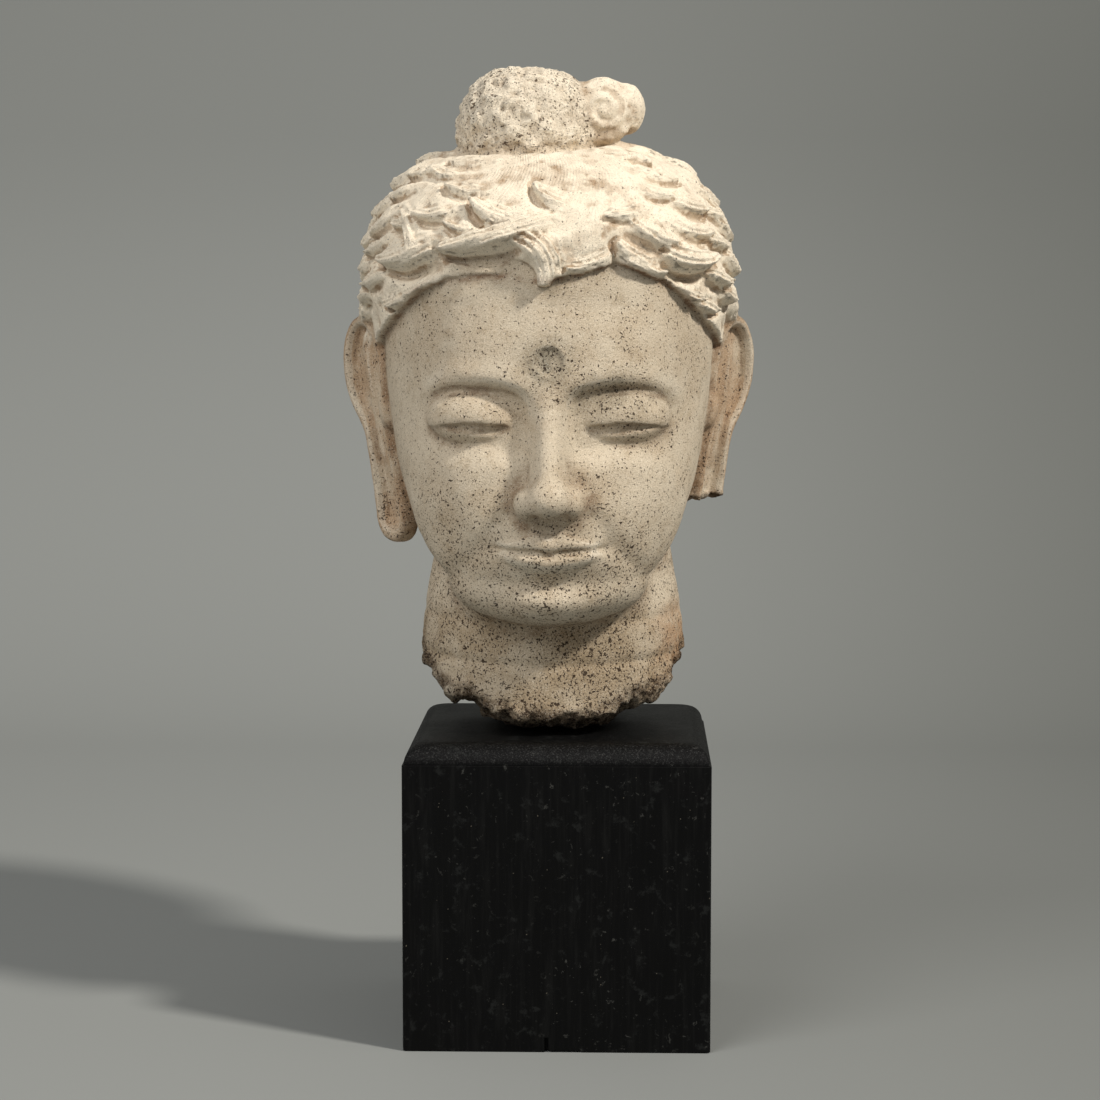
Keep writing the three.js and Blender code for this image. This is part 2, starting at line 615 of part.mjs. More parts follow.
function castEar(side, lowest) {
  const middle = (z) => profile(EAR_ROOT, z) + 6;
  const along = (z) => EAR_Y + 6 * smooth(150, 110, z) + 8 * smooth(110, 150, z);
  const heights = [lowest + 1, 0.16, 0.32, 0.46, 0.58, 0.68, 0.78, 0.88, 0.95]
    .map((share, i) => (i === 0 ? share : lowest + share * (EAR_TOP_Z - lowest)));
  const spine = (z) => new THREE.Vector3(side * middle(z), along(z), z);
  const stations = heights.map((z) => ({ from: spine(z), elevation: 0 }));
  const form = (x, y, z) => Math.max(earForm(side, x, y, z), lowest - z);
  return castForm(form, stations, evenAzimuths(16), 40);
}

function toSolid(geometry) {
  const bare = geometry.clone();
  bare.deleteAttribute("normal");
  bare.deleteAttribute("uv");
  const merged = mergeVertices(bare, 1e-4);
  return new wasm.Manifold(new wasm.Mesh({
    numProp: 3,
    vertProperties: new Float32Array(merged.attributes.position.array),
    triVerts: new Uint32Array(merged.index.array),
  }));
}

function toGeometry(solid) {
  const mesh = solid.getMesh();
  const geometry = new THREE.BufferGeometry();
  geometry.setAttribute("position", new THREE.Float32BufferAttribute(mesh.vertProperties, 3));
  geometry.setIndex(new THREE.Uint32BufferAttribute(mesh.triVerts, 1));
  return geometry;
}

function stuccoHead() {
  const bunMiddle = new THREE.Vector3(...BUN_MIDDLE);
  const curlMiddle = new THREE.Vector3(...SCROLL[0]);
  const pieces = [
    castForm(bunForm, fan(bunMiddle, -60, 76, 9), evenAzimuths(20), 60),
    castForm(curlForm, fan(curlMiddle, -70, 74, 8), evenAzimuths(16), 40),
    castEar(-1, LOBE_END_Z),
    castEar(1, LOBE_BREAK_Z),
  ];
  let solid = toSolid(castHead());
  for (const piece of pieces) {
    solid = solid.add(toSolid(piece));
  }
  const geometry = toGeometry(solid);
  geometry.scale(...Array(3).fill(HEAD_HEIGHT / FORM_HEIGHT));
  return geometry;
}

// Outline of the block with small round corners, drawn in by an inset on every side
function blockOutline(inset, z) {
  const round = CORNER_ROUND + inset * 0.5;
  const halfX = PLINTH_WIDTH / 2 - inset - round;
  const halfY = PLINTH_DEPTH / 2 - inset - round;
  const points = [];
  for (const [sx, sy, first] of [[1, 1, 0], [-1, 1, 90], [-1, -1, 180], [1, -1, 270]]) {
    for (const turn of [0, 30, 60, 90]) {
      const angle = radians(first + turn);
      const x = sx * halfX + round * Math.cos(angle);
      const y = sy * halfY + round * Math.sin(angle);
      points.push(new THREE.Vector3(x, y, z));
    }
  }
  return points;
}

function plinthBlock() {
  const shoulder = PLINTH_HEIGHT - TOP_ROUND;
  const rings = [blockOutline(0, 0), blockOutline(0, shoulder)];
  for (const turn of [0, 18, 36, 54, 72, 90]) {
    const inset = ROUND_STEP + TOP_ROUND * (1 - Math.cos(radians(turn)));
    rings.push(blockOutline(inset, shoulder + TOP_ROUND * Math.sin(radians(turn))));
  }
  const block = skinOf(new THREE.Vector3(), rings, new THREE.Vector3(0, 0, PLINTH_HEIGHT));
  const slit = new THREE.BoxGeometry(SLIT_WIDTH, 2 * SLIT_DEPTH, 2 * SLIT_HEIGHT);
  slit.translate(SLIT_LEFT + SLIT_WIDTH / 2, -PLINTH_DEPTH / 2, 0);
  const gap = new THREE.BoxGeometry(GAP_WIDTH, 2 * SLIT_DEPTH, 2 * GAP_HEIGHT);
  gap.translate(SLIT_LEFT + GAP_WIDTH / 2, -PLINTH_DEPTH / 2, 0);
  return toGeometry(toSolid(block).subtract(toSolid(slit)).subtract(toSolid(gap)));
}

function namedMesh(name, geometry, color, roughness) {
  const material = new THREE.MeshStandardMaterial({ color, roughness, metalness: 0 });
  const mesh = new THREE.Mesh(geometry, material);
  mesh.name = name;
  return mesh;
}

const plinth = namedMesh("plinth_block", plinthBlock(), 0x141414, 0.45);
const head = namedMesh("stucco_head", stuccoHead(), 0xd2c0a4, 0.9);
head.rotation.z = radians(HEAD_TURN);
head.position.set(-HEAD_LEFT, 0, PLINTH_HEIGHT + REST_GAP);

const group = new THREE.Group();
group.add(plinth, head);

export default group;
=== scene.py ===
"""A stucco head with a high bun of hair, broken off at the neck, on a black painted wood block."""
import math

import bmesh
import bpy
import numpy as np
from mathutils import Matrix, Vector


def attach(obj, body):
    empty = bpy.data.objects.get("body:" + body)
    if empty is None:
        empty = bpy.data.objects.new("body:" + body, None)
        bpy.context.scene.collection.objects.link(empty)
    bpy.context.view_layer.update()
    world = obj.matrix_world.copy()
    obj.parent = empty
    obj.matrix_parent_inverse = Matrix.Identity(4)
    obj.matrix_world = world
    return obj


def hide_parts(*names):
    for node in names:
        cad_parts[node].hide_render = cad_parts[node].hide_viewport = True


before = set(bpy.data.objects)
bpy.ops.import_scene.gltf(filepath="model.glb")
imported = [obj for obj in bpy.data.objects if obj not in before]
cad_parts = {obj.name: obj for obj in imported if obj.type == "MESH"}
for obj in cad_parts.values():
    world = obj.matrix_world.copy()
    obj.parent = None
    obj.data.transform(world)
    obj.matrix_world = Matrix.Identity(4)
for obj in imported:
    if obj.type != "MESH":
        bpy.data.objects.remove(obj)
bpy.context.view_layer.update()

# Sizes in millimetres, as the construction has them; the origin is the middle of the block's underside
PLINTH_WIDTH = 142.0
PLINTH_DEPTH = 142.0
PLINTH_HEIGHT = 143.0
TOP_ROUND = 9.5
ROUND_STEP = 0.8
CORNER_ROUND = 1.6
SLIT_WIDTH = 1.9
SLIT_HEIGHT = 7.0
GAP_WIDTH = 17.0
GAP_HEIGHT = 0.9
SLIT_DEPTH = 3.0
SLIT_LEFT = -5.5
HEAD_LEFT = 5.5
HEAD_TURN = 1.6
REST_GAP = 0.3
MM = 0.001

# Fineness of the head's surface
GRID_STEP = 1.05
HEAD_TRIANGLES = 192000

# Places on the face, by the rule of equal thirds from the chin up; heights are over the block's top
CHIN_Z = 54.0
THIRD = 53.0
NOSE_Z = CHIN_Z + THIRD
BROW_Z = CHIN_Z + 2 * THIRD
MOUTH_Z = NOSE_Z - THIRD / 3
MARK_Z = BROW_Z + 15.0
EYE_X = 31.5
EYE_Y = -63.5
EYE_Z = 149.0
EYE_RADII = (21.5, 17.6, 13.4)
EYE_TURN = 0.16
UPPER_LID = 2.3
LOWER_LID = 1.4
LID_REACH = 17.0
NOSE_BRIDGE = ((0, -76.5, 160), (0, -90.0, 116.0), 7.0, 8.6)
NOSE_RIDGE = ((0, -83.5, 158), (0, -98.5, 117.0), 3.6, 5.0)
NOSE_TIP = ((0, -97.0, 113.6), (9.2, 9.0, 7.6))
NOSE_WING = ((9.6, -87.5, 111.6), (6.2, 10.5, 6.8))
NOSTRIL = ((5.6, -92.5, 104.8), (3.2, 5.6, 3.4))
MOUTH_HALF = 24.5
UPPER_LIP_TALL = 8.6
LOWER_LIP_TALL = 9.4
UPPER_LIP_PROUD = 3.4
LOWER_LIP_PROUD = 3.9
MARK_RADIUS = 6.3
SKULL_TOP = 269.0
JAW_Z = 76.0
WIDE_Z = 200.0
SQUARENESS = 2.35
CROWN_SQUARENESS = 2.75
CROWN_Z = 312.0

# Half width, front and back of the bare head by height
HALF_WIDTH = [(76, 46), (88, 55.5), (104, 63.5), (125, 70.5), (150, 75), (175, 77.5), (200, 78.5)]
FRONT = [(76, 79), (88, 81.5), (104, 83.5), (125, 84), (150, 84.5), (175, 86), (200, 83)]
BACK = [(76, -8), (88, 14), (104, 44), (125, 74), (150, 92), (175, 98), (200, 98)]

# Neck: middle, half width and half depth by height
NECK_X = 2.0
NECK_Y = 6.0
NECK_TOP = 140.0
NECK_WIDE = [(-10, 58), (12, 61), (40, 62.5), (60, 61), (78, 57.5), (110, 52), (150, 50)]
NECK_DEEP = [(-10, 53), (12, 55), (40, 55), (60, 53), (78, 51), (110, 52), (150, 54)]
NECK_CREASES = [(33, 1.2), (52, 0.8)]

# Hair: middle and radii of the scalp, radii over the locks, and the hairline's height by azimuth
SCALP_MIDDLE = (0.0, 5.0, 195.0)
SCALP_RADII = (86.0, 98.0, 76.0)
OUTER_HAIR = (94.0, 84.0)
LOCK_SPAN = 92.0
LOCK_STEPS = 7
RIB_SPACING = 3.4
RIB_DEPTH = 1.25
STREAK_SPACING = 5.2
STRAND_SPACING = 2.1
STREAK_DEPTH = 0.6
HAIRLINE = [(0, 211.5), (18, 213.5), (36, 210), (48, 201), (56, 194), (66, 188), (78, 184), (92, 172),
            (104, 140), (125, 104), (150, 92), (180, 88)]

HAIRLINE_RAISED = {"x": 31.0, "half": 15.0, "height": 5.5}
HAIR_AT_EDGE = 4.6
HAIR_ABOVE_EDGE = 4.9
FRINGE_HOLLOW = {"x": -13, "half": 8, "z": 214, "tall": 5, "deep": 4.5}
FRINGE_DIP = {"x": -30, "half": 24, "deep": 2.8}

# Locks that show from the front: start x and z, tip x and z, turn in degrees, half width, height
FRONT_LOCKS = [
    (-25, 233, -3, 212, -108, 8.6, 7.7),
    (13, 247, -48, 226, -42, 7.2, 7.8),
    (0, 240, -33, 246, -85, 5.6, 6.6),
    (14, 243, -6, 254, -60, 4.8, 5.4),
    (-20, 252, -44, 252, -50, 5, 3.6),
    (-44, 233, -77, 221, -52, 7.2, 7.8),
    (-58, 249, -80, 232, -46, 5.8, 6),
    (-68, 244, -62, 223, -70, 5, 6),
    (-34, 246, -58, 240, -60, 5.2, 5.4),
    (-42, 271, -62, 268, -44, 5.6, 5.4),
    (-48, 263, -75, 258, -48, 5.6, 6),
    (-62, 253, -86, 245, -48, 5.8, 6.2),
    (-72, 240, -92, 231, -48, 5.8, 6.2),
    (-78, 227, -95, 220, -48, 5.6, 6),
    (-82, 214, -94, 205, -44, 5.4, 5.5),
    (-14, 266, -42, 262, -40, 5.6, 2.9),
    (-48, 221, -71, 206, -30, 5, 3.8),
    (38, 233, 10, 219, -34, 6.4, 3.4),
    (31, 244, 56, 228, 48, 6.4, 5.5),
    (43, 252, 69, 242, 58, 5.6, 5.8),
    (48, 241, 72, 233, 62, 5.6, 5.8),
    (45, 233, 75, 222, 84, 7, 8.4),
    (58, 215, 76, 204, 40, 5.2, 4.1),
    (28, 265, 43, 261, -110, 4.6, 4.8),
    (33, 261, 55, 254, 42, 5, 3.4),
    (46, 270, 71, 263, 42, 5.8, 5.3),
    (55, 258, 81, 249, 46, 5.8, 5.5),
    (66, 246, 89, 233, 46, 6, 5.8),
    (74, 232, 95, 218, 52, 6.4, 6.7),
    (78, 216, 92, 203, 44, 5.6, 5.3),
    (-40, 262, -60, 256, -60, 4.2, 4.3),
    (-30, 258, -50, 260, -70, 4, 3.4),
    (-50, 256, -69, 247, -56, 4.2, 4.8),
    (-64, 238, -85, 225, -58, 4.6, 5.5),
    (-52, 241, -69, 237, -70, 4, 4.6),
    (-68, 224, -90, 211, -52, 4.6, 5.3),
    (-60, 214, -82, 201, -44, 4.6, 4.6),
    (-24, 236, -46, 237, -50, 4, 3.6),
    (36, 254, 53, 247, 60, 4, 4.1),
    (57, 250, 78, 240, 60, 4.4, 4.8),
    (58, 240, 83, 228, 60, 4.6, 5.3),
    (64, 226, 88, 212, 62, 4.8, 5.8),
    (52, 264, 70, 254, 46, 4.2, 4.1),
    (38, 226, 57, 216, 50, 4.6, 4.1),
    (68, 210, 86, 198, 40, 4.6, 4.3),
    (57, 221, 33, 229, -72, 6.8, 5.4),
    (45, 246, 26, 240, -44, 4.4, 3.6),
]

# Rows of locks round the sides and back: elevation, count, first azimuth, drop, half width, height
BACK_ROWS = [
    (70, 4, 58, 13, 7.2, 2.6),
    (57, 6, 66, 14, 7.2, 3.4),
    (43, 7, 74, 15, 7.2, 4.0),
    (28, 8, 82, 16, 7.2, 4.4),
    (13, 8, 82, 16, 7.2, 4.6),
    (-2, 8, 92, 16, 7.0, 4.6),
    (-17, 8, 104, 15, 6.8, 4.4),
    (-31, 7, 116, 14, 6.4, 4.2),
    (-45, 6, 126, 12, 6.0, 3.8),
]

# Bun and side curl
BUN_MIDDLE = (-10.0, -6.0, 281.0)
BUN_RADII = (33.5, 34.0, 33.5)
CURL_EYE = (26.0, 291.0)
CURL_SCROLL = ((25.0, -13, 290.5), (14.6, 13, 15.6))
CURL_LOBE = ((36.4, -9, 291.5), (8.8, 12, 11.8))
CURL_LIP = {"ring": 12.0, "y": -18.0, "radius": 3.8, "middle": -1.75}
CURL_BLEND = 5.5
BUN_GROOVE = 4.5
CURL_PITCH = 7.0

# Ears: tilt from the side plane, root's distance from the middle by height, and the broken lobe's end
EAR_TILT = 38.0
EAR_Y = 2.0
EAR_ROOT = [(80, 67), (105, 69.5), (130, 73), (155, 77), (180, 79.5), (200, 81)]
LOBE_BREAK_Z = 108.0
EAR_OUTSIDE = 5.4
EAR_INSIDE = 4.5
EAR_HOLLOW = 5.2


def smooth(low, high, value):
    t = np.clip((value - low) / (high - low), 0.0, 1.0)
    return t * t * (3.0 - 2.0 * t)


def bump(value, width):
    return np.exp(-((value / width) ** 2))


def join(a, b, blend):
    """Rounded union of two distances, negative inside."""
    h = np.clip(0.5 + 0.5 * (b - a) / blend, 0.0, 1.0)
    return b * (1.0 - h) + a * h - blend * h * (1.0 - h)


def keep_both(a, b, blend):
    return -join(-a, -b, blend)


def ellipsoid(x, y, z, middle, radii):
    qx, qy, qz = (x - middle[0]) / radii[0], (y - middle[1]) / radii[1], (z - middle[2]) / radii[2]
    k0 = np.sqrt(qx * qx + qy * qy + qz * qz)
    k1 = np.sqrt((qx / radii[0]) ** 2 + (qy / radii[1]) ** 2 + (qz / radii[2]) ** 2)
    return k0 * (k0 - 1.0) / np.maximum(k1, 1e-9)


def round_cone(x, y, z, start, end, start_radius, end_radius):
    ax, ay, az = (end[i] - start[i] for i in range(3))
    px, py, pz = x - start[0], y - start[1], z - start[2]
    t = np.clip((px * ax + py * ay + pz * az) / (ax * ax + ay * ay + az * az), 0.0, 1.0)
    away = np.sqrt((px - ax * t) ** 2 + (py - ay * t) ** 2 + (pz - az * t) ** 2)
    return away - (start_radius + (end_radius - start_radius) * t)


def profile(knots, at):
    """A smooth line through (height, value) knots."""
    heights = np.array([k[0] for k in knots], float)
    values = np.array([k[1] for k in knots], float)
    slope = np.empty(len(knots))
    slope[1:-1] = (values[2:] - values[:-2]) / (heights[2:] - heights[:-2])
    slope[0] = (values[1] - values[0]) / (heights[1] - heights[0])
    slope[-1] = (values[-1] - values[-2]) / (heights[-1] - heights[-2])
    at = np.clip(at, heights[0], heights[-1])
    i = np.clip(np.searchsorted(heights, at, side="right") - 1, 0, len(knots) - 2)
    h = heights[i + 1] - heights[i]
    t = (at - heights[i]) / h
    start = (1 + 2 * t) * (1 - t) ** 2 * values[i] + t * (1 - t) ** 2 * h * slope[i]
    return start + t * t * (3 - 2 * t) * values[i + 1] + t * t * (t - 1) * h * slope[i + 1]


def skull_ratio(x, y, z):
    level = np.clip(z, JAW_Z, WIDE_Z)
    front = profile(FRONT, level)
    back = profile(BACK, level)
    crown = np.maximum(z - WIDE_Z, 0) / (SKULL_TOP - WIDE_Z)
    jaw = np.maximum(JAW_Z - z, 0) / (JAW_Z - CHIN_Z)
    depth = (front + back) / 2 * (1 - 0.13 * np.minimum(crown, 1.2) ** 2)
    level_ratio = np.abs(x / profile(HALF_WIDTH, level)) ** SQUARENESS
    level_ratio = level_ratio + np.abs((y - (back - front) / 2) / depth) ** SQUARENESS
    power = np.where(z > JAW_Z, CROWN_SQUARENESS, SQUARENESS)
    return (level_ratio ** (power / SQUARENESS) + (crown + jaw) ** power) ** (1 / power)


def skull(x, y, z):
    """The bare head is a superellipse at each height, rounded over at the crown and the jaw."""
    step = 0.5
    ratio = skull_ratio(x, y, z)
    gx = skull_ratio(x + step, y, z) - ratio
    gy = skull_ratio(x, y + step, z) - ratio
    gz = skull_ratio(x, y, z + step) - ratio
    slope = np.sqrt(gx * gx + gy * gy + gz * gz) / step
    return (ratio - 1) / np.maximum(slope, 0.004)


def brows(ax, z):
    arch = BROW_Z + 6.0 - 9.0 * ((ax - 33.0) / 30.0) ** 2
    depth = 4.0 + 4.5 * bump(ax - 17.0, 12.0)
    socket = depth * smooth(2.5, -7.0, z - arch) * smooth(EYE_Z - 24.0, EYE_Z - 4.0, z)
    socket = socket * smooth(62.0, 40.0, ax) * smooth(5.0, 16.0, ax)
    return 2.0 * bump(z - arch - 2.5, 6.0) * smooth(2, 14, ax) * smooth(66, 45, ax) - socket


def cheeks_and_chin(ax, z):
    cheek = 3.6 * bump(ax - 43, 24) * bump(z - 113, 24)
    muzzle = 3.2 * bump(ax, 27) * bump(z - 92, 17)
    fold = 1.6 * bump(ax - (15.0 + 0.75 * (112 - z)), 6.0) * smooth(112, 104, z) * smooth(74, 86, z)
    chin = 4.6 * bump(ax, 17) * bump(z - 63.5, 10.5)
    dip = 3.2 * bump(ax, 24) * bump(z - 74.0, 5.2)
    temple = 1.8 * bump(ax - 66, 14) * bump(z - 172, 26)
    return cheek + muzzle - fold + chin - dip - temple


def nose(ax, y, z):
    bridge = round_cone(ax, y, z, *NOSE_BRIDGE)
    ridge = round_cone(ax, y, z, *NOSE_RIDGE)
    tip = ellipsoid(ax, y, z, *NOSE_TIP)
    wing = ellipsoid(ax, y, z, *NOSE_WING)
    return join(join(join(bridge, ridge, 5.0), tip, 5.0), wing, 4.5)


def eye(ax, y, z):
    """Lowered lids over a round ball: the upper one stands proud of the lower."""
    u = ax - EYE_X
    v = y - EYE_Y
    lx = u * math.cos(EYE_TURN) + v * math.sin(EYE_TURN)
    ly = v * math.cos(EYE_TURN) - u * math.sin(EYE_TURN)
    ball = ellipsoid(lx, ly, z, (0, 0, EYE_Z + 0.5), EYE_RADII)
    slope = 0.03 * u
    upper_edge = EYE_Z - 3.4 + 1.6 * (1 - (u / LID_REACH) ** 2) + slope
    lower_edge = EYE_Z - 4.4 - 1.8 * np.maximum(1 - ((u + 1.0) / LID_REACH) ** 2, -0.3) + slope
    upper = keep_both(ball - UPPER_LID, (upper_edge - z) * 0.9, 1.0)
    lower = keep_both(ball - LOWER_LID, (z - lower_edge) * 0.9, 1.0)
    crease = 0.6 * bump(ball - 2.0, 2.6) * smooth(EYE_Z + 3, EYE_Z + 9, z) * smooth(24, 14, np.abs(u))
    return join(join(ball, upper, 0.5), lower, 0.5), crease


def lips(ax, z):
    t = np.clip(ax / MOUTH_HALF, 0, 1)
    v = z - (MOUTH_Z + 1.6 * t ** 2 - 0.9 * bump(ax, 4.5))
    fade = np.sqrt(np.maximum(1 - t ** 2.2, 0)) * smooth(1.0, 0.72, t)
    tall = UPPER_LIP_TALL * (1 - 0.75 * t ** 1.5) + bump(ax - 6, 3.5)
    deep = LOWER_LIP_TALL * (1 - 0.62 * t ** 2)
    upper = np.maximum(1 - ((v - 0.42 * tall) / (0.60 * tall + 0.1)) ** 2, 0) ** 0.8 * (v > -1)
    lower = np.maximum(1 - ((v + 0.46 * deep) / (0.56 * deep + 0.1)) ** 2, 0) ** 0.7 * (v < 1)
    slit = 2.3 * bump(v, 1.5) * smooth(27.5, 22, ax)
    corner = 1.6 * bump(ax - 26, 3.2) * bump(v, 3.6)
    groove = smooth(NOSE_Z - 1, NOSE_Z - 5, z) * smooth(MOUTH_Z + 6, MOUTH_Z + 9, z)
    philtrum = (0.5 * bump(ax - 5.2, 2.0) - 1.1 * bump(ax, 2.8)) * groove
    return (UPPER_LIP_PROUD * upper + LOWER_LIP_PROUD * lower) * fade - slit - corner + philtrum


def face(x, y, z, bare):
    ax = np.abs(x)
    front = smooth(-25, -50, y)
    d = bare - (brows(ax, z) + cheeks_and_chin(ax, z)) * front
    d = join(d, nose(ax, y, z), 6.0)
    nostril = ellipsoid(ax, y, z, *NOSTRIL)
    d = keep_both(d, -nostril, 1.6)
    lids, crease = eye(ax, y, z)
    d = join(d + crease, lids, 2.2)
    d = d - lips(ax, z) * smooth(-60, -70, y)
    mark = np.hypot(x, z - MARK_Z)
    dimple = 1.3 * smooth(MARK_RADIUS + 0.7, MARK_RADIUS - 0.7, mark)
    return d + front * (dimple - 0.5 * bump(mark - MARK_RADIUS - 1.1, 1.2))


def neck(x, y, z):
    a = profile(NECK_WIDE, z)
    b = profile(NECK_DEEP, z)
    qx, qy = (x - NECK_X) / a, (y - NECK_Y) / b
    d = np.maximum((np.sqrt(qx * qx + qy * qy) - 1) * np.minimum(a, b), z - NECK_TOP)
    for level, depth in NECK_CREASES:
        d = d + depth * bump(z - level - 3.0 * qx ** 2, 2.2) * smooth(20, -10, y)
    return d


def break_level(x, y):
    """The broken underside: a flat seat in the middle, rising to a rough rim."""
    away = np.abs(x - NECK_X)
    sides = 13.0 * smooth(16, 46, away) + 26.0 * smooth(45, 68, away)
    rough = 1.3 * np.sin(x * 0.31 + 1.3) * np.sin(y * 0.27 + 0.4)
    rim = smooth(18, 34, np.hypot(x - NECK_X, y - NECK_Y))
    return sides + 8.0 * smooth(-14, -46, y) + 11 * smooth(38, 62, y) + rough * rim


def unit(vector):
    return vector / np.linalg.norm(vector)


def on_scalp(x, y, z):
    q = np.stack([(c - m) / r for c, m, r in zip((x, y, z), SCALP_MIDDLE, SCALP_RADII)])
    return q / (np.sqrt((q * q).sum(0)) + 1e-9)


def facing(x, z):
    """Direction from the scalp's middle of a place that is seen from the front."""
    qx = x / OUTER_HAIR[0]
    qz = (z - SCALP_MIDDLE[2]) / OUTER_HAIR[1]
    return unit(np.array((qx, -math.sqrt(max(0.0, 1 - qx * qx - qz * qz)), qz)))


def pointing(azimuth, elevation):
    a, e = math.radians(azimuth), math.radians(elevation)
    return np.array((math.sin(a) * math.cos(e), -math.cos(a) * math.cos(e), math.sin(e)))


class Lock:
    """A lock's path is a line that turns more and more towards its tip, laid on the chord to the tip."""

    def __init__(self, start, tip, turn, half_width, height):
        self.middle = unit(start + tip)
        self.across = unit(np.cross(self.middle, unit(tip - start)))
        self.along = np.cross(self.across, self.middle)
        chord = LOCK_SPAN * 2 * math.asin(min(1.0, np.linalg.norm(tip - start) / 2))
        headings = np.radians(turn) * ((np.arange(LOCK_STEPS) + 0.5) / LOCK_STEPS) ** 1.5
        path = np.concatenate(([0], np.cumsum(np.exp(1j * headings))))
        self.path = path / path[-1] * chord - chord / 2
        self.length = abs(self.path[1] - self.path[0]) * LOCK_STEPS
        self.half_width = half_width
        self.height = height
        self.reach = min(1.25 * (chord / 2 + 1.6 * half_width + 3) / LOCK_SPAN, 1.4)

    def nearest(self, w):
        """Signed distance to the side of the path, and the share of its length, past 0 and 1 too."""
        gap = np.full(len(w), 1e9)
        side = np.zeros(len(w))
        share = np.zeros(len(w))
        for i in range(LOCK_STEPS):
            edge = self.path[i + 1] - self.path[i]
            run = (w - self.path[i]) * np.conj(edge)
            on = run.real / abs(edge) ** 2
            d = np.abs(w - self.path[i] - np.clip(on, 0, 1) * edge)
            low = -9 if i == 0 else 0
            high = 9 if i == LOCK_STEPS - 1 else 1
            use = d < gap
            gap = np.where(use, d, gap)
            side = np.where(use, run.imag / abs(edge), side)
            share = np.where(use, (i + np.clip(on, low, high)) / LOCK_STEPS, share)
        return side, share

    def shape(self, q):
        """Relief of the lock over the scalp, how far it covers, and the distance across its strands."""
        u = LOCK_SPAN * np.arctan2(self.along @ q, self.middle @ q)
        v = LOCK_SPAN * np.arcsin(np.clip(self.across @ q, -1, 1))
        side, share = self.nearest(u + 1j * v)
        on = np.clip(share, 0, 1)
        half = self.half_width * (0.5 + 0.6 * np.sin(math.pi * (0.1 + 0.5 * on))) * (1 - 0.65 * on ** 3)
        # the crest lies near the lower side, which falls into a valley; the upper side runs out softly
        off = side / half
        low = -off if self.across[2] > 0 else off
        past_tip = np.maximum(share - 1, 0) * self.length / half
        fall = np.hypot(np.maximum(low, 0), past_tip)
        soft = min(1.0, 1.5 * abs(self.across[2]))
        even = np.hypot(off, past_tip)
        slanted = 0.62 - 1.2 * smooth(0.4, 1.15, fall) + 0.58 * smooth(1.15, 2.3, fall)
        slanted = smooth(-2.1, 0.3, low) * slanted
        round_top = 0.75 - 1.15 * smooth(0.25, 1.1, even) + 0.4 * smooth(1.1, 1.9, even)
        relief = (soft * slanted + (1 - soft) * round_top) * smooth(-0.05, 0.75, share)
        cover = smooth(1.02, 0.86, np.hypot(low, past_tip)) * smooth(0.0, 0.3, on)
        height = self.height * relief
        sway = 0.9 * np.sin(share * 5.0 + 9.0 * self.middle[0])
        ribs = 0.5 - 0.5 * np.sin((side + sway) * (2 * math.pi / RIB_SPACING))
        return height - RIB_DEPTH * ribs * smooth(0.1, 1.8, height), cover, side + sway


def make_locks():
    locks = [Lock(facing(x0, z0), facing(x1, z1), *rest) for x0, z0, x1, z1, *rest in FRONT_LOCKS]
    for row, (elevation, count, first, drop, half_width, height) in enumerate(BACK_ROWS):
        shift = 0.5 * (row % 2)
        for i in range(count):
            azimuth = first + (360 - 2 * first) * (i + shift * 0.9) / (count - 1 + 0.9 * shift)
            side = 1 if azimuth < 180 else -1
            vary = math.sin(i * 2.1 + row * 1.7)
            run = (11 + 4 * vary) / math.cos(math.radians(min(abs(elevation), 62)))
            start = pointing(azimuth, elevation + 5)
            tip = pointing(azimuth + side * run, elevation - drop)
            width = half_width * (1 + 0.08 * vary)
            locks.append(Lock(start, tip, side * (62 + 22 * vary), width, height))
    return locks


LOCKS = make_locks()


def lock_relief(x, y, z):
    """Relief of the locks, how far they cover, the distance across strands, and how combed they look."""
    q = on_scalp(x, y, z)
    crest = np.zeros_like(x)
    valley = np.zeros_like(x)
    cover = np.zeros_like(x)
    across = LOCK_SPAN * np.arctan2(q[0], -q[1]) + 7.0 * np.sin(7.0 * np.arccos(np.clip(q[2], -1, 1)))
    for lock in LOCKS:
        near = np.nonzero(lock.middle @ q > math.cos(lock.reach))[0]
        if len(near):
            h, c, side = lock.shape(q[:, near])
            higher = h > np.maximum(crest[near], 0.4)
            across[near] = np.where(higher, side, across[near])
            crest[near] = np.maximum(crest[near], h)
            valley[near] = np.maximum(valley[near], -h)
            cover[near] = np.maximum(cover[near], c)
    valley = valley * (1 - smooth(0.3, 2.6, crest))
    combed = np.maximum(smooth(0.7, 1.6, crest), 0.6 * smooth(0.25, 0.05, crest + valley))
    loose = smooth(0.8, 0.1, crest + valley) * smooth(0.4, 0.9, np.hypot(q[0], q[1]))
    loose = loose * (0.5 + 0.5 * np.sin(0.19 * x + 0.16 * z) * np.sin(0.11 * x - 0.21 * z))
    streaks = STREAK_DEPTH * (0.5 - 0.5 * np.sin(across * (2 * math.pi / STREAK_SPACING))) * loose
    return crest - valley - streaks, cover, across, combed


def above_hairline(x, y, z):
    line = profile(HAIRLINE, np.degrees(np.arctan2(np.abs(x), SCALP_MIDDLE[1] - y)))
    raised = HAIRLINE_RAISED["height"] * bump(x - HAIRLINE_RAISED["x"], HAIRLINE_RAISED["half"])
    return z - line - raised * smooth(0, -30, y)


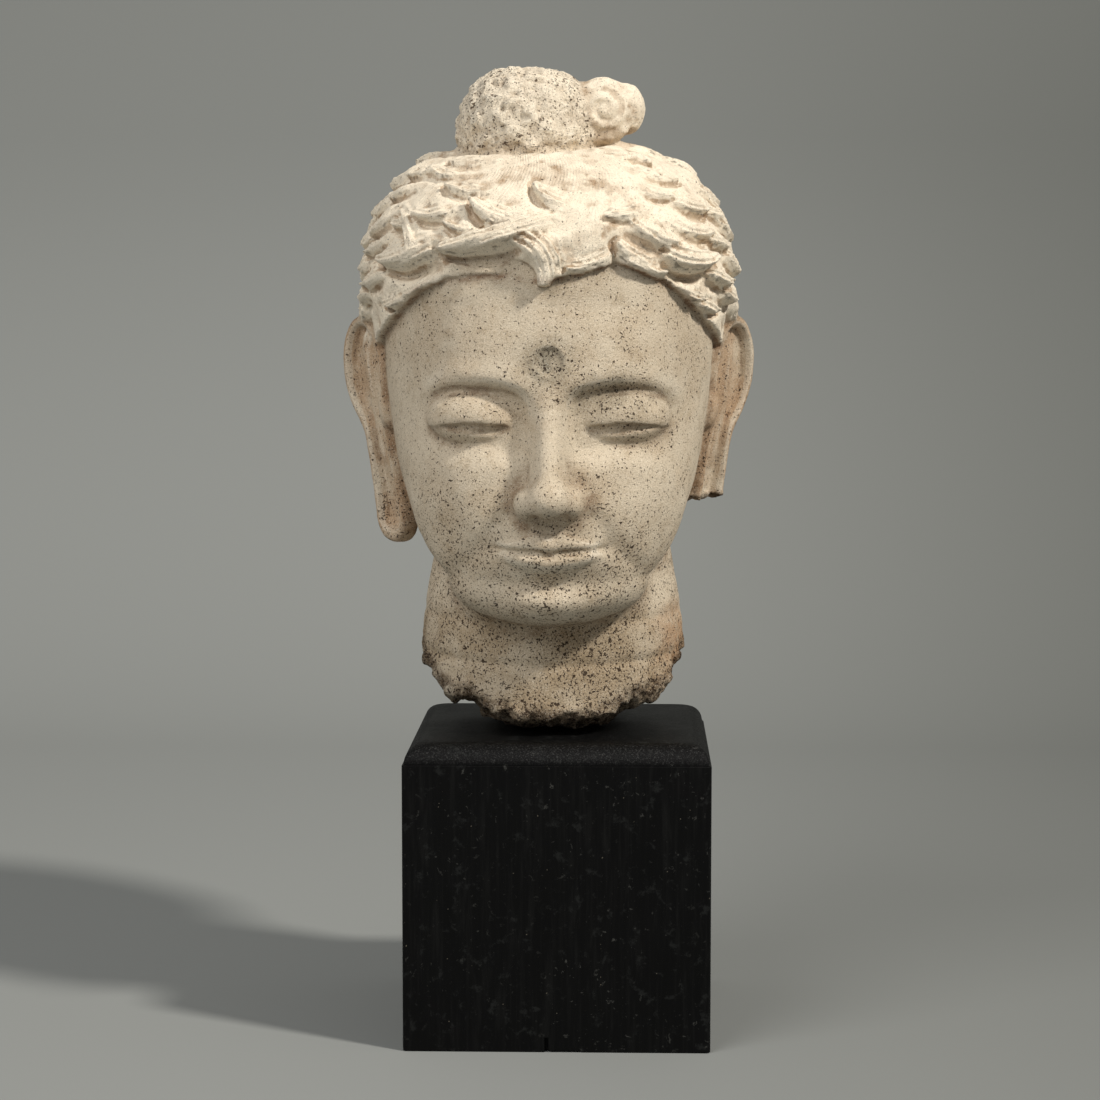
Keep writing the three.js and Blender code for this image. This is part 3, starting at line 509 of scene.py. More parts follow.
def hair(x, y, z, bare):
    above = above_hairline(x, y, z)
    height, cover = lock_relief(x, y, z)[:2]
    hanging = 0.8 + 2.4 * bump(x + 4.0, 9.0)
    covered = np.maximum(smooth(-0.6, 0.9, above), cover * smooth(-1.3, -0.9, above / hanging))
    body = HAIR_AT_EDGE + HAIR_ABOVE_EDGE * smooth(3, 20, above)
    hollow = bump(x - FRINGE_HOLLOW["x"], FRINGE_HOLLOW["half"])
    hollow = FRINGE_HOLLOW["deep"] * hollow * bump(z - FRINGE_HOLLOW["z"], FRINGE_HOLLOW["tall"])
    dip = FRINGE_DIP["deep"] * bump(x - FRINGE_DIP["x"], FRINGE_DIP["half"]) * smooth(11, 4, above)
    body = body - hollow - dip
    body = body - BUN_GROOVE * smooth(13.0, 3.0, bun(x, y, z)) * smooth(0, -25, y)
    return bare - ((body + height) * covered - 4.0 * (1 - covered))


def bun(x, y, z):
    ball = keep_both(ellipsoid(x, y, z, BUN_MIDDLE, BUN_RADII), z - CROWN_Z, 9)
    return ball - 1.2 * np.sin(x * 0.35 + 1) * np.sin(z * 0.41 + 0.5) * np.sin(y * 0.33 + 2)


def side_curl(x, y, z):
    """A scroll that faces forwards beside the bun, with a lip under it and a lobe behind."""
    scroll = ellipsoid(x, y, z, *CURL_SCROLL)
    lobe = ellipsoid(x, y, z, *CURL_LOBE)
    ring = np.hypot(x - CURL_EYE[0], z - CURL_EYE[1])
    turn = np.arctan2(z - CURL_EYE[1], x - CURL_EYE[0])
    spiral = np.cos(2 * math.pi * ring / CURL_PITCH - turn)
    spiral = spiral * smooth(1.0, 4.0, ring) * smooth(12, 8, ring)
    past_lip = smooth(0.9, 1.5, np.abs(turn - CURL_LIP["middle"]))
    lip = np.hypot(ring - CURL_LIP["ring"], y - CURL_LIP["y"]) - CURL_LIP["radius"] + 5.0 * past_lip
    return join(join(scroll, lobe, 3.0) + 0.85 * spiral * smooth(-8, -18, y), lip, 1.6)


def ear(x, y, z, side):
    """A tilted plate with a hollow inside its rim; side is 1 at +X, where the lobe's end is lost."""
    tilt = math.radians(EAR_TILT)
    lx = x * side - profile(EAR_ROOT, z)
    ly = y - EAR_Y
    along = lx * math.sin(tilt) + ly * math.cos(tilt)
    out = lx * math.cos(tilt) - ly * math.sin(tilt)
    pinna = ellipsoid(along, 0 * y, z, (10.5, 0, 168), (17.5, 1e3, 27))
    lobe = round_cone(along, 0 * y, z, (7.5, 0, 152), (6.0, 0, 98.5), 9.6, 12.0)
    flat = join(pinna, lobe, 8)
    inside = smooth(-3.2, -6.4, flat) * smooth(88, 100, z)
    ridge = bump(along - 9.5 - 0.05 * (z - 150), 2.6) * smooth(118, 132, z) * smooth(186, 174, z)
    hollow = EAR_HOLLOW * inside * (1 - 0.55 * ridge)
    d = keep_both(keep_both(out - EAR_OUTSIDE + hollow, -out - EAR_INSIDE, 1.5), flat, 3.0)
    d = join(d, ellipsoid(along, out, z, (-5, 4.0, 150), (4.5, 4.2, 8)), 2.5)
    if side > 0:
        d = keep_both(d, LOBE_BREAK_Z + 1.2 * np.sin(along * 0.6) - z, 0.8)
    return d


def head(x, y, z):
    bare = skull(x, y, z)
    d = join(face(x, y, z, bare), neck(x, y, z), 9.0)
    d = join(d, hair(x, y, z, bare), 1.2)
    d = join(d, join(bun(x, y, z), side_curl(x, y, z), CURL_BLEND), 3.0)
    d = join(d, ear(x, y, z, -1), 3.0)
    d = join(d, ear(x, y, z, 1), 3.0)
    d = keep_both(d, (break_level(x, y) - z) * 0.85, 2.0)
    return np.maximum(d, -z)


def fine_field(form, low, counts, step, coarse):
    """The form's values on a fine grid, worked out only near the surface."""
    coarse_counts = [(k - 1) // coarse + 1 for k in counts]
    axes = [l + step * coarse * np.arange(k) for l, k in zip(low, coarse_counts)]
    places = np.meshgrid(*axes, indexing="ij")
    rough = form(*[p.ravel() for p in places]).reshape(coarse_counts)
    near = np.abs(rough) < step * coarse * 1.9
    cell = np.zeros([k - 1 for k in coarse_counts], bool)
    for corner in np.ndindex(2, 2, 2):
        window = tuple(slice(c, k - 1 + c) for c, k in zip(corner, coarse_counts))
        cell |= near[window]
    field = np.repeat(np.repeat(np.repeat(rough, coarse, 0), coarse, 1), coarse, 2)
    field = np.where(field[:counts[0], :counts[1], :counts[2]] > 0, 9.0, -9.0)
    wanted = np.zeros(counts, bool)
    for block in np.argwhere(cell):
        window = tuple(slice(b * coarse, (b + 1) * coarse + 1) for b in block)
        wanted[window] = True
    index = np.argwhere(wanted)
    values = np.empty(len(index))
    batch = 400000
    for first in range(0, len(index), batch):
        part = index[first:first + batch]
        values[first:first + batch] = form(*[low[a] + step * part[:, a] for a in range(3)])
    field[wanted] = values
    return field


def surface_points(field, cells):
    """One point in each crossed cell: the mean of the places where its edges cross the surface."""
    total = np.zeros((len(cells), 3))
    count = np.zeros(len(cells))
    for corner in np.ndindex(2, 2, 2):
        for axis in range(3):
            if corner[axis]:
                continue
            other = list(corner)
            other[axis] = 1
            a = field[tuple(cells[:, i] + corner[i] for i in range(3))]
            b = field[tuple(cells[:, i] + other[i] for i in range(3))]
            crossed = (a < 0) != (b < 0)
            share = np.where(crossed, a / np.where(crossed, a - b, 1), 0)
            place = np.array(corner, float) + share[:, None] * np.eye(3)[axis]
            total += place * crossed[:, None]
            count += crossed
    return cells + total / count[:, None]


def surface_quads(inside, number, counts):
    quads = []
    for axis in range(3):
        u, v = [i for i in range(3) if i != axis]
        here = [slice(None)] * 3
        there = [slice(None)] * 3
        here[axis] = slice(0, -1)
        there[axis] = slice(1, None)
        a, b = inside[tuple(here)], inside[tuple(there)]
        for leaving, crossed in ((True, a & ~b), (False, ~a & b)):
            edge = np.argwhere(crossed)
            inner = (edge[:, u] > 0) & (edge[:, v] > 0)
            inner &= (edge[:, u] < counts[u] - 1) & (edge[:, v] < counts[v] - 1)
            edge = edge[inner]
            ring = []
            for du, dv in ((-1, -1), (0, -1), (0, 0), (-1, 0)):
                cell = edge.copy()
                cell[:, u] += du
                cell[:, v] += dv
                ring.append(number[cell[:, 0], cell[:, 1], cell[:, 2]])
            ring = np.stack(ring, 1)
            quads.append(ring if leaving == (axis != 1) else ring[:, ::-1])
    return np.concatenate(quads)


def skin_of(form, low, high, step, coarse=5):
    """Points and quads of the form's surface."""
    low = np.array(low, float)
    counts = [int(math.ceil((h - l) / step / coarse)) * coarse + 1 for l, h in zip(low, high)]
    field = fine_field(form, low, counts, step, coarse)
    inside = field < 0
    total = np.zeros([k - 1 for k in counts], np.int8)
    for corner in np.ndindex(2, 2, 2):
        window = tuple(slice(c, k - 1 + c) for c, k in zip(corner, counts))
        total += inside[window]
    active = (total > 0) & (total < 8)
    cells = np.argwhere(active)
    number = np.full(active.shape, -1, np.int64)
    number[active] = np.arange(len(cells))
    points = surface_points(field, cells) * step + low
    return points, surface_quads(inside, number, counts)


def noise(points, size, seed):
    """Smooth noise from -1 to 1 whose lumps are about as large as size."""
    place = points / size
    cell = np.floor(place).astype(np.int64)
    t = place - cell
    t = t * t * (3 - 2 * t)
    total = np.zeros(len(points))
    for corner in np.ndindex(2, 2, 2):
        weight = np.ones(len(points))
        for axis in range(3):
            weight *= t[:, axis] if corner[axis] else 1 - t[:, axis]
        n = (cell + np.array(corner)).astype(np.uint64)
        mixed = n[:, 0] * np.uint64(73856093)
        mixed = mixed ^ n[:, 1] * np.uint64(19349663) ^ n[:, 2] * np.uint64(83492791)
        mixed = (mixed + np.uint64(seed * 2654435761)) & np.uint64(0xFFFFFFFF)
        mixed = ((mixed ^ (mixed >> np.uint64(15))) * np.uint64(2246822519)) & np.uint64(0xFFFFFFFF)
        mixed = ((mixed ^ (mixed >> np.uint64(13))) * np.uint64(3266489917)) & np.uint64(0xFFFFFFFF)
        total += weight * ((mixed ^ (mixed >> np.uint64(16))) / 2147483648.0 - 1)
    return total


def lumps(points, *layers):
    """Layers of noise added up, each with its height, size and seed."""
    return sum(height * noise(points, size, seed) for height, size, seed in layers)


def zones(p):
    """Masks from 0 to 1 of the head's areas, by place in the head's own millimetres."""
    x, y, z = p.T
    above = above_hairline(x, y, z)
    bare = skull(x, y, z)
    in_bun = smooth(3.0, 0.5, join(bun(x, y, z), side_curl(x, y, z), CURL_BLEND)) * smooth(262, 272, z)
    ears = np.maximum(smooth(2.5, 0.5, ear(x, y, z, -1)), smooth(2.5, 0.5, ear(x, y, z, 1)))
    locks = smooth(1.6, 3.4, bare) * smooth(-13, -9, above - 11 * smooth(0, 40, y)) * (1 - ears)
    locks = np.maximum(locks, in_bun)
    under = smooth(8.0, 2.0, (z - break_level(x, y)) * 0.85) * smooth(60, 40, z)
    lost_lobe = ears * smooth(LOBE_BREAK_Z + 3, LOBE_BREAK_Z + 1, z) * (x > 0)
    bun_ball = in_bun * (0.15 + 0.85 * smooth(4.0, 0.0, bun(x, y, z) - side_curl(x, y, z) + 2))
    broken = np.maximum(under, lost_lobe)
    across, combed = lock_relief(x, y, z)[2:]
    combed = combed * locks * (1 - in_bun)
    front = smooth(-40, -60, y) * (1 - locks)
    round_mark = bump(np.hypot(x, z - MARK_Z), 10)
    dirt = np.maximum(round_mark, 0.6 * bump(x - 30, 24) * bump(z - BROW_Z - 1, 13))
    low = 1 - smooth(66, 150, z)
    stump = smooth(64, 52, z)
    # edge is the band along the hairline, which the material darkens as painted shade
    return {"dirt": dirt * front, "low": low, "stump": stump, "stain": stump * smooth(44, 62, x),
            "locks": locks, "ears": ears, "broken": broken, "bun": bun_ball, "across": across,
            "combed": combed, "edge": bump(above + 0.8, 1.4) * smooth(8, 0, y)}


def weather(points, normals):
    """Wears the surface: soft lumps all over, chipped locks, dents on the bun and clods on breaks."""
    area = zones(points)
    soft = lumps(points, (0.35, 10.0, 1), (0.16, 4.0, 2))
    fine = lumps(points, (0.10, 2.0, 3))
    rough = lumps(points, (0.9, 6.0, 4), (1.0, 3.4, 5), (0.8, 2.0, 6))
    dents = -1.5 * smooth(0.4, 0.75, noise(points, 4.2, 7)) - smooth(0.4, 0.7, noise(points, 2.4, 8))
    chips = 0.32 * noise(points, 4.6, 11) - 0.5 * smooth(0.5, 0.85, noise(points, 3.4, 12))
    clods = lumps(points, (1.3, 13.0, 9), (1.2, 7.0, 10))
    locks = area["locks"]
    lift = soft * (0.7 + 0.3 * locks) + fine * (0.5 + 1.4 * locks) + chips * locks
    lift += rough * np.maximum(1.2 * area["broken"], 0.5 * area["bun"]) + clods * area["broken"]
    lift += dents * area["bun"]
    seat = smooth(0.0, 1.5, points[:, 2])
    return points + normals * (lift * seat)[:, None]


def mesh_from(name, points, faces):
    mesh = bpy.data.meshes.new(name)
    mesh.vertices.add(len(points))
    mesh.vertices.foreach_set("co", points.astype(np.float32).ravel())
    size = faces.shape[1]
    mesh.loops.add(faces.size)
    mesh.loops.foreach_set("vertex_index", faces.astype(np.int32).ravel())
    mesh.polygons.add(len(faces))
    mesh.polygons.foreach_set("loop_start", np.arange(len(faces), dtype=np.int32) * size)
    mesh.update(calc_edges=True)
    mesh.validate()
    return mesh


def read_points(mesh, what="co"):
    values = np.empty(len(mesh.vertices) * 3)
    mesh.vertices.foreach_get(what, values)
    return values.reshape(-1, 3)


def add_layer(mesh, name, values):
    """A number at each point, which a material reads by its name."""
    layer = mesh.attributes.new(name, "FLOAT", "POINT")
    layer.data.foreach_set("value", np.asarray(values, np.float32))


def thinned(mesh, triangles):
    """The same surface with about that many triangles."""
    holder = bpy.data.objects.new("thinning", mesh)
    bpy.context.scene.collection.objects.link(holder)
    modifier = holder.modifiers.new("thin", "DECIMATE")
    modifier.ratio = min(1.0, triangles / (2.0 * len(mesh.polygons)))
    evaluated = holder.evaluated_get(bpy.context.evaluated_depsgraph_get())
    result = bpy.data.meshes.new_from_object(evaluated)
    bpy.data.objects.remove(holder)
    bpy.data.meshes.remove(mesh)
    return result


def hollows(points, normals):
    """How far each point lies in a hollow (1) or on an edge (0), with 0.5 on a plain surface."""
    total = np.zeros(len(points))
    for reach in (2.5, 6.0):
        ahead = points + normals * reach
        total += 1 - head(*ahead.T) / reach
    return np.clip(0.5 + total / 2, 0, 1)


def to_place(points):
    """From the head's own millimetres to metres in the shared frame."""
    turn = math.radians(HEAD_TURN)
    x = points[:, 0] * math.cos(turn) - points[:, 1] * math.sin(turn) - HEAD_LEFT
    y = points[:, 0] * math.sin(turn) + points[:, 1] * math.cos(turn)
    return np.stack((x, y, points[:, 2] + PLINTH_HEIGHT + REST_GAP), 1) * MM


def build_head():
    points, quads = skin_of(head, (-105, -115, -3), (105, 118, 318), GRID_STEP)
    mesh = mesh_from("stucco_skin", points, quads)
    points = weather(points, read_points(mesh, "normal"))
    points[:, 2] = np.maximum(points[:, 2], 0)
    mesh.vertices.foreach_set("co", points.astype(np.float32).ravel())
    mesh.update()
    mesh = thinned(mesh, HEAD_TRIANGLES)
    points = read_points(mesh)
    normals = read_points(mesh, "normal")
    masks = zones(points)
    masks["hollow"] = hollows(points, normals)
    for name, values in masks.items():
        add_layer(mesh, name, values)
    mesh.vertices.foreach_set("co", to_place(points).astype(np.float32).ravel())
    mesh.shade_smooth()
    mesh.update()
    obj = bpy.data.objects.new("stucco_surface", mesh)
    bpy.context.scene.collection.objects.link(obj)
    return obj


def block_outline(inset, height):
    """Outline of the block with small round corners, drawn in by an inset on every side."""
    corner = CORNER_ROUND + inset * 0.5
    half_x = PLINTH_WIDTH / 2 - inset - corner
    half_y = PLINTH_DEPTH / 2 - inset - corner
    points = []
    for sx, sy, first in ((1, 1, 0), (-1, 1, 90), (-1, -1, 180), (1, -1, 270)):
        for step in range(7):
            angle = math.radians(first + 15 * step)
            x = sx * half_x + corner * math.cos(angle)
            y = sy * half_y + corner * math.sin(angle)
            points.append((x, y, height))
    return points


def box_mesh(name, low, high):
    shape = bmesh.new()
    size = [h - l for l, h in zip(low, high)]
    middle = [(h + l) / 2 for l, h in zip(low, high)]
    place = Matrix.Translation(middle) @ Matrix.Diagonal((*size, 1))
    bmesh.ops.create_cube(shape, size=1, matrix=place)
    mesh = bpy.data.meshes.new(name)
    shape.to_mesh(mesh)
    shape.free()
    return mesh


def build_plinth():
    shape = bmesh.new()
    shoulder = PLINTH_HEIGHT - TOP_ROUND
    levels = [(0.5, 0.0), (0.0, 0.5)]
    levels += [(0.0, shoulder * k / 6) for k in range(1, 6)]
    levels += [(0.0, shoulder - 0.3), (0.3, shoulder)]
    for step in range(13):
        turn = math.radians(7.5 * step)
        inset = ROUND_STEP + TOP_ROUND * (1 - math.cos(turn))
        levels.append((inset, shoulder + TOP_ROUND * math.sin(turn)))
    rings = [[shape.verts.new(Vector(p) * MM) for p in block_outline(*level)] for level in levels]
    count = len(rings[0])
    for low, high in zip(rings, rings[1:]):
        for i in range(count):
            j = (i + 1) % count
            shape.faces.new((low[i], low[j], high[j], high[i]))
    shape.faces.new(list(reversed(rings[0])))
    shape.faces.new(rings[-1])
    mesh = bpy.data.meshes.new("plinth_block_surface")
    shape.to_mesh(mesh)
    shape.free()
    obj = bpy.data.objects.new("plinth_surface", mesh)
    bpy.context.scene.collection.objects.link(obj)
    front = -PLINTH_DEPTH / 2
    cuts = [
        ("slit", SLIT_WIDTH, SLIT_HEIGHT),
        ("gap", GAP_WIDTH, GAP_HEIGHT),
    ]
    for name, width, height in cuts:
        low = Vector((SLIT_LEFT, front - SLIT_DEPTH, -1)) * MM
        high = Vector((SLIT_LEFT + width, front + SLIT_DEPTH, height)) * MM
        cutter = bpy.data.objects.new(name, box_mesh(name, low, high))
        bpy.context.scene.collection.objects.link(cutter)
        modifier = obj.modifiers.new(name, "BOOLEAN")
        modifier.operation = "DIFFERENCE"
        modifier.solver = "EXACT"
        modifier.object = cutter
        evaluated = obj.evaluated_get(bpy.context.evaluated_depsgraph_get())
        cut = bpy.data.meshes.new_from_object(evaluated)
        obj.modifiers.clear()
        obj.data = cut
        bpy.data.objects.remove(cutter)
    height = read_points(obj.data)[:, 2] / MM - shoulder
    # The band over the rounded top edge: rougher paint there, and painted glints in the material
    edge_wear_and_glint = smooth(0.2, 2.0, height) * (1 - 0.7 * smooth(TOP_ROUND - 1, TOP_ROUND, height))
    add_layer(obj.data, "wear_and_glint", edge_wear_and_glint)
    obj.data.shade_smooth()
    obj.data.set_sharp_from_angle(angle=math.radians(32))
    return obj


class Value:
    """A shader socket that can be written in sums."""

    def __init__(self, graph, socket):
        self.graph = graph
        self.socket = socket

    def _math(self, operation, *operands):
        return self.graph.add("ShaderNodeMath", {"operation": operation}, dict(enumerate(operands)))

    def __add__(self, other):
        return self._math("ADD", self, other)

    def __radd__(self, other):
        return self._math("ADD", other, self)

    def __sub__(self, other):
        return self._math("SUBTRACT", self, other)

    def __rsub__(self, other):
        return self._math("SUBTRACT", other, self)

    def __mul__(self, other):
        return self._math("MULTIPLY", self, other)

    def __rmul__(self, other):
        return self._math("MULTIPLY", other, self)

    def most(self, other):
        return self._math("MAXIMUM", self, other)

    def sine(self):
        return self._math("SINE", self)

    def ramp(self, low, high):
        """0 up to low, 1 from high on, smooth between; low may be the larger."""
        settings = {"interpolation_type": "SMOOTHSTEP"}
        if low < high:
            values = {"Value": self, "From Min": low, "From Max": high}
            return self.graph.add("ShaderNodeMapRange", settings, values)
        values = {"Value": self, "From Min": high, "From Max": low, "To Min": 1.0, "To Max": 0.0}
        return self.graph.add("ShaderNodeMapRange", settings, values)


class Graph:
    """The nodes of one material."""

    def __init__(self, name):
        self.material = bpy.data.materials.new(name)
        self.material.use_nodes = True
        self.tree = self.material.node_tree
        self.shader = self.tree.nodes["Principled BSDF"]

    def add(self, kind, settings=None, inputs=None, output=0):
        node = self.tree.nodes.new(kind)
        for key, value in (settings or {}).items():
            setattr(node, key, value)
        for key, value in (inputs or {}).items():
            self.join(node.inputs[key], value)
        return Value(self, node.outputs[output])

    def join(self, socket, value):
        if isinstance(value, Value):
            self.tree.links.new(value.socket, socket)
        else:
            socket.default_value = value

    def set(self, **inputs):
        for key, value in inputs.items():
            self.join(self.shader.inputs[key.replace("_", " ").title()], value)

    def place(self):
        return self.add("ShaderNodeTexCoord", output="Object")

    def attribute(self, name):
        return self.add("ShaderNodeAttribute", {"attribute_name": name}, output="Fac")

    def stretched(self, place, scale, turn=(0, 0, 0)):
        inputs = {"Vector": place, "Scale": scale, "Rotation": turn}
        return self.add("ShaderNodeMapping", None, inputs)

    def noise(self, place, size, detail=3.0, rough=0.55):
        inputs = {"Vector": place, "Scale": 1 / (size * MM), "Detail": detail, "Roughness": rough}
        return self.add("ShaderNodeTexNoise", None, inputs)

    def blend(self, low, high, share):
        return self.add("ShaderNodeMix", {"data_type": "RGBA"}, {0: share, 6: low, 7: high}, output=2)

    def vector(self, operation, inputs):
        return self.add("ShaderNodeVectorMath", {"operation": operation}, inputs)

    def moved(self, place, size, amount):
        """The place, pushed about by noise."""
        inputs = {"Vector": place, "Scale": 1 / (size * MM), "Detail": 1.0}
        wander = self.add("ShaderNodeTexNoise", None, inputs, output="Color")
        centred = self.vector("SUBTRACT", {0: wander, 1: (0.5, 0.5, 0.5)})
        scaled = self.vector("SCALE", {0: centred, "Scale": amount * MM})
        return self.vector("ADD", {0: place, 1: scaled})

    def pits(self, place, spacing, radius, share):
        """Small holes at random places: share of the cells has one, radius is part of the spacing."""
        inputs = {"Vector": place, "Scale": 1 / (spacing * MM)}
        cell = self.add("ShaderNodeTexVoronoi", None, inputs, output="Distance")
        colour = self.add("ShaderNodeTexVoronoi", None, inputs, output="Color")
        parts = self.add("ShaderNodeSeparateColor", None, {0: colour}, output=0)
        size = self.add("ShaderNodeSeparateColor", None, {0: colour}, output=1)
        chosen = (share - parts).ramp(0.0, 0.02)
        return ((size * 0.6 + 0.4) * radius - cell).ramp(0.0, 0.05) * chosen


def colour(red, green, blue):
    """A colour given as the screen shows it, as linear light."""
    def linear(c):
        c = c / 255
        return c / 12.92 if c <= 0.04045 else ((c + 0.055) / 1.055) ** 2.4
    return (linear(red), linear(green), linear(blue), 1.0)


# Shades of the stucco, as the screen shows them
STUCCO_SHADES = {
    "pale": (211, 196, 172),
    "warm": (198, 180, 154),
    # painted light: the hair is painted paler for the stronger light it takes from the upper right
    "hair": (248, 234, 210),
    "old patch": (166, 144, 114),
    "ear stain": (168, 128, 90),
    # painted shade for hollows and the valleys under the locks
    "deep crevice shade": (112, 82, 54),
    "hair crevice shade": (158, 124, 88),
    # painted shade along the foot of the hair's edge
    "hairline": (126, 88, 58),
    "lighter edge": (238, 228, 208),
    "grey dirt": (118, 112, 96),
    "neck": (150, 128, 98),
    "neck stain": (172, 126, 84),
    "break": (74, 57, 39),
    "dark grain": (132, 114, 88),
    "strand": (160, 138, 108),
    "dark dust": (112, 94, 70),
    "light dust": (246, 238, 222),
    # painted shade in the recesses of the bun's rough surface
    "bun_recess_shade": (158, 130, 96),
    # painted shade inside the small pits
    "pit": (44, 28, 17),
    "bun pit": (84, 62, 40),
}


def stucco_material():
    g = Graph("pitted_stucco")
    tint = {name: colour(*shade) for name, shade in STUCCO_SHADES.items()}
    place = g.place()
    locks = g.attribute("locks")
    ears = g.attribute("ears")
    broken = g.attribute("broken")
    rough_bun = g.attribute("bun")
    hollow = g.attribute("hollow")
    hair = locks * (1 - rough_bun)
    cloud = g.noise(place, 26.0, 4.0, 0.6)
    patch = g.noise(place, 9.0, 5.0, 0.65)
    grain = g.noise(place, 1.1, 4.0, 0.7)
    base = g.blend(tint["pale"], tint["warm"], cloud.ramp(0.38, 0.66))
    # Painted light: the hair is painted paler for the stronger light it takes from the upper right
    base = g.blend(base, tint["hair"], locks * 0.95)
    base = g.blend(base, tint["old patch"], patch.ramp(0.5, 0.74) * (0.45 - 0.28 * locks))
    base = g.blend(base, tint["ear stain"], ears * cloud.ramp(0.3, 0.6) * 0.55)
    # Painted shade: hollows and the valleys under the locks are darkened, more so in random patches
    crevice = (hollow + 0.05 * locks).ramp(0.55, 0.78) * (1 - 0.7 * rough_bun)
    shade = g.blend(tint["deep crevice shade"], tint["hair crevice shade"], hair)
    base = g.blend(base, shade, crevice * (0.18 + 0.17 * locks + 0.45 * patch.ramp(0.4, 0.65)))
    # Painted shade: a dark brown line along the hairline, under the hair that stands over the forehead
    base = g.blend(base, tint["hairline"], g.attribute("edge") * (0.3 + 0.5 * patch.ramp(0.4, 0.65)))
    # Lighter on ridges and edges, where the hollow map is low
    base = g.blend(base, tint["lighter edge"], hollow.ramp(0.42, 0.2) * 0.4)
    dirt = g.attribute("dirt")
    base = g.blend(base, tint["grey dirt"], dirt * (0.35 + 0.5 * patch.ramp(0.35, 0.6)))
    stump = g.attribute("stump") * (0.25 + 0.4 * cloud.ramp(0.35, 0.65))
    base = g.blend(base, tint["neck"], stump)
    stain = g.attribute("stain") * (0.2 + 0.45 * patch.ramp(0.35, 0.6))
    base = g.blend(base, tint["neck stain"], stain)
    base = g.blend(base, tint["break"], broken * (0.25 + 0.6 * patch.ramp(0.38, 0.6)))
    base = g.blend(base, tint["dark grain"], grain.ramp(0.52, 0.75) * 0.45)
    strand = (g.attribute("across") * (2 * math.pi / STRAND_SPACING) + patch * 9.0).sine()
    strand = strand * g.attribute("combed") * patch.ramp(0.25, 0.6)
    base = g.blend(base, tint["strand"], strand.ramp(0.3, 1.0) * 0.2)
    dust = g.noise(place, 0.45, 2.0, 0.6)
    base = g.blend(base, tint["dark dust"], dust.ramp(0.55, 0.7) * 0.5)
    base = g.blend(base, tint["light dust"], dust.ramp(0.45, 0.3) * 0.4)
    wander = g.moved(place, 1.4, 1.1)
    tall = g.stretched(wander, (1.0, 1.0, 0.5), (0.5, 0.9, 0.3))
    fine_worm = g.noise(wander, 1.0, 2.0, 0.5)
    worm = g.noise(wander, 1.9, 2.0, 0.5)
    coarse = g.noise(g.stretched(wander, (1.0, 1.0, 1.5), (0.2, 0.6, 0.1)), 3.0, 3.0, 0.6)
    level = 0.695 - 0.045 * cloud.ramp(0.35, 0.65) - 0.03 * rough_bun + 0.05 * hair
    level = level - 0.045 * g.attribute("low") - 0.05 * dirt - 0.03 * broken
    pit = (fine_worm - level + 0.012).ramp(0.0, 0.03)
    pit = pit.most((worm - level - 0.02).ramp(0.0, 0.03))
    pit = pit.most((coarse - level - 0.05 + 0.05 * rough_bun).ramp(0.0, 0.03))
    tiny = g.pits(tall, 1.2, 0.2, 0.5 - 0.3 * hair)
    pit = pit.most(tiny * 0.8)
    rough_face = g.noise(place, 2.4, 4.0, 0.7)
    # Painted shade: brown in the low parts of the bun's rough relief, which the bump raises elsewhere
    bun_recess_shade = rough_face.ramp(0.52, 0.36) * rough_bun
    base = g.blend(base, tint["bun_recess_shade"], bun_recess_shade * 0.22)
    # Painted shade: the pits are darkened for the shade inside the small holes, which the bump alone
    # leaves lit
    base = g.blend(base, g.blend(tint["pit"], tint["bun pit"], rough_bun), pit * 0.9)
    height = grain * 0.5 + dust * 0.35 + patch * 0.3 - pit * 1.3 - strand * 0.2
    height = height + (rough_bun * 1.8 + hair * 0.5 + broken * 1.6) * rough_face
    relief = g.add("ShaderNodeBump", None, {"Strength": 1.0, "Distance": 1.0 * MM, "Height": height})
    g.set(base_color=base, roughness=0.92, normal=relief)
    g.shader.inputs["Specular IOR Level"].default_value = 0.25
    return g.material


PAINT_SHADES = {
    "paint": (3, 3, 3),
    "grain": (14, 14, 13),
    "broad streak": (20, 20, 19),
    "scuff": (30, 31, 30),
    "flake": (58, 58, 55),
    "speck": (104, 98, 86),
    "glint": (92, 92, 90),
}


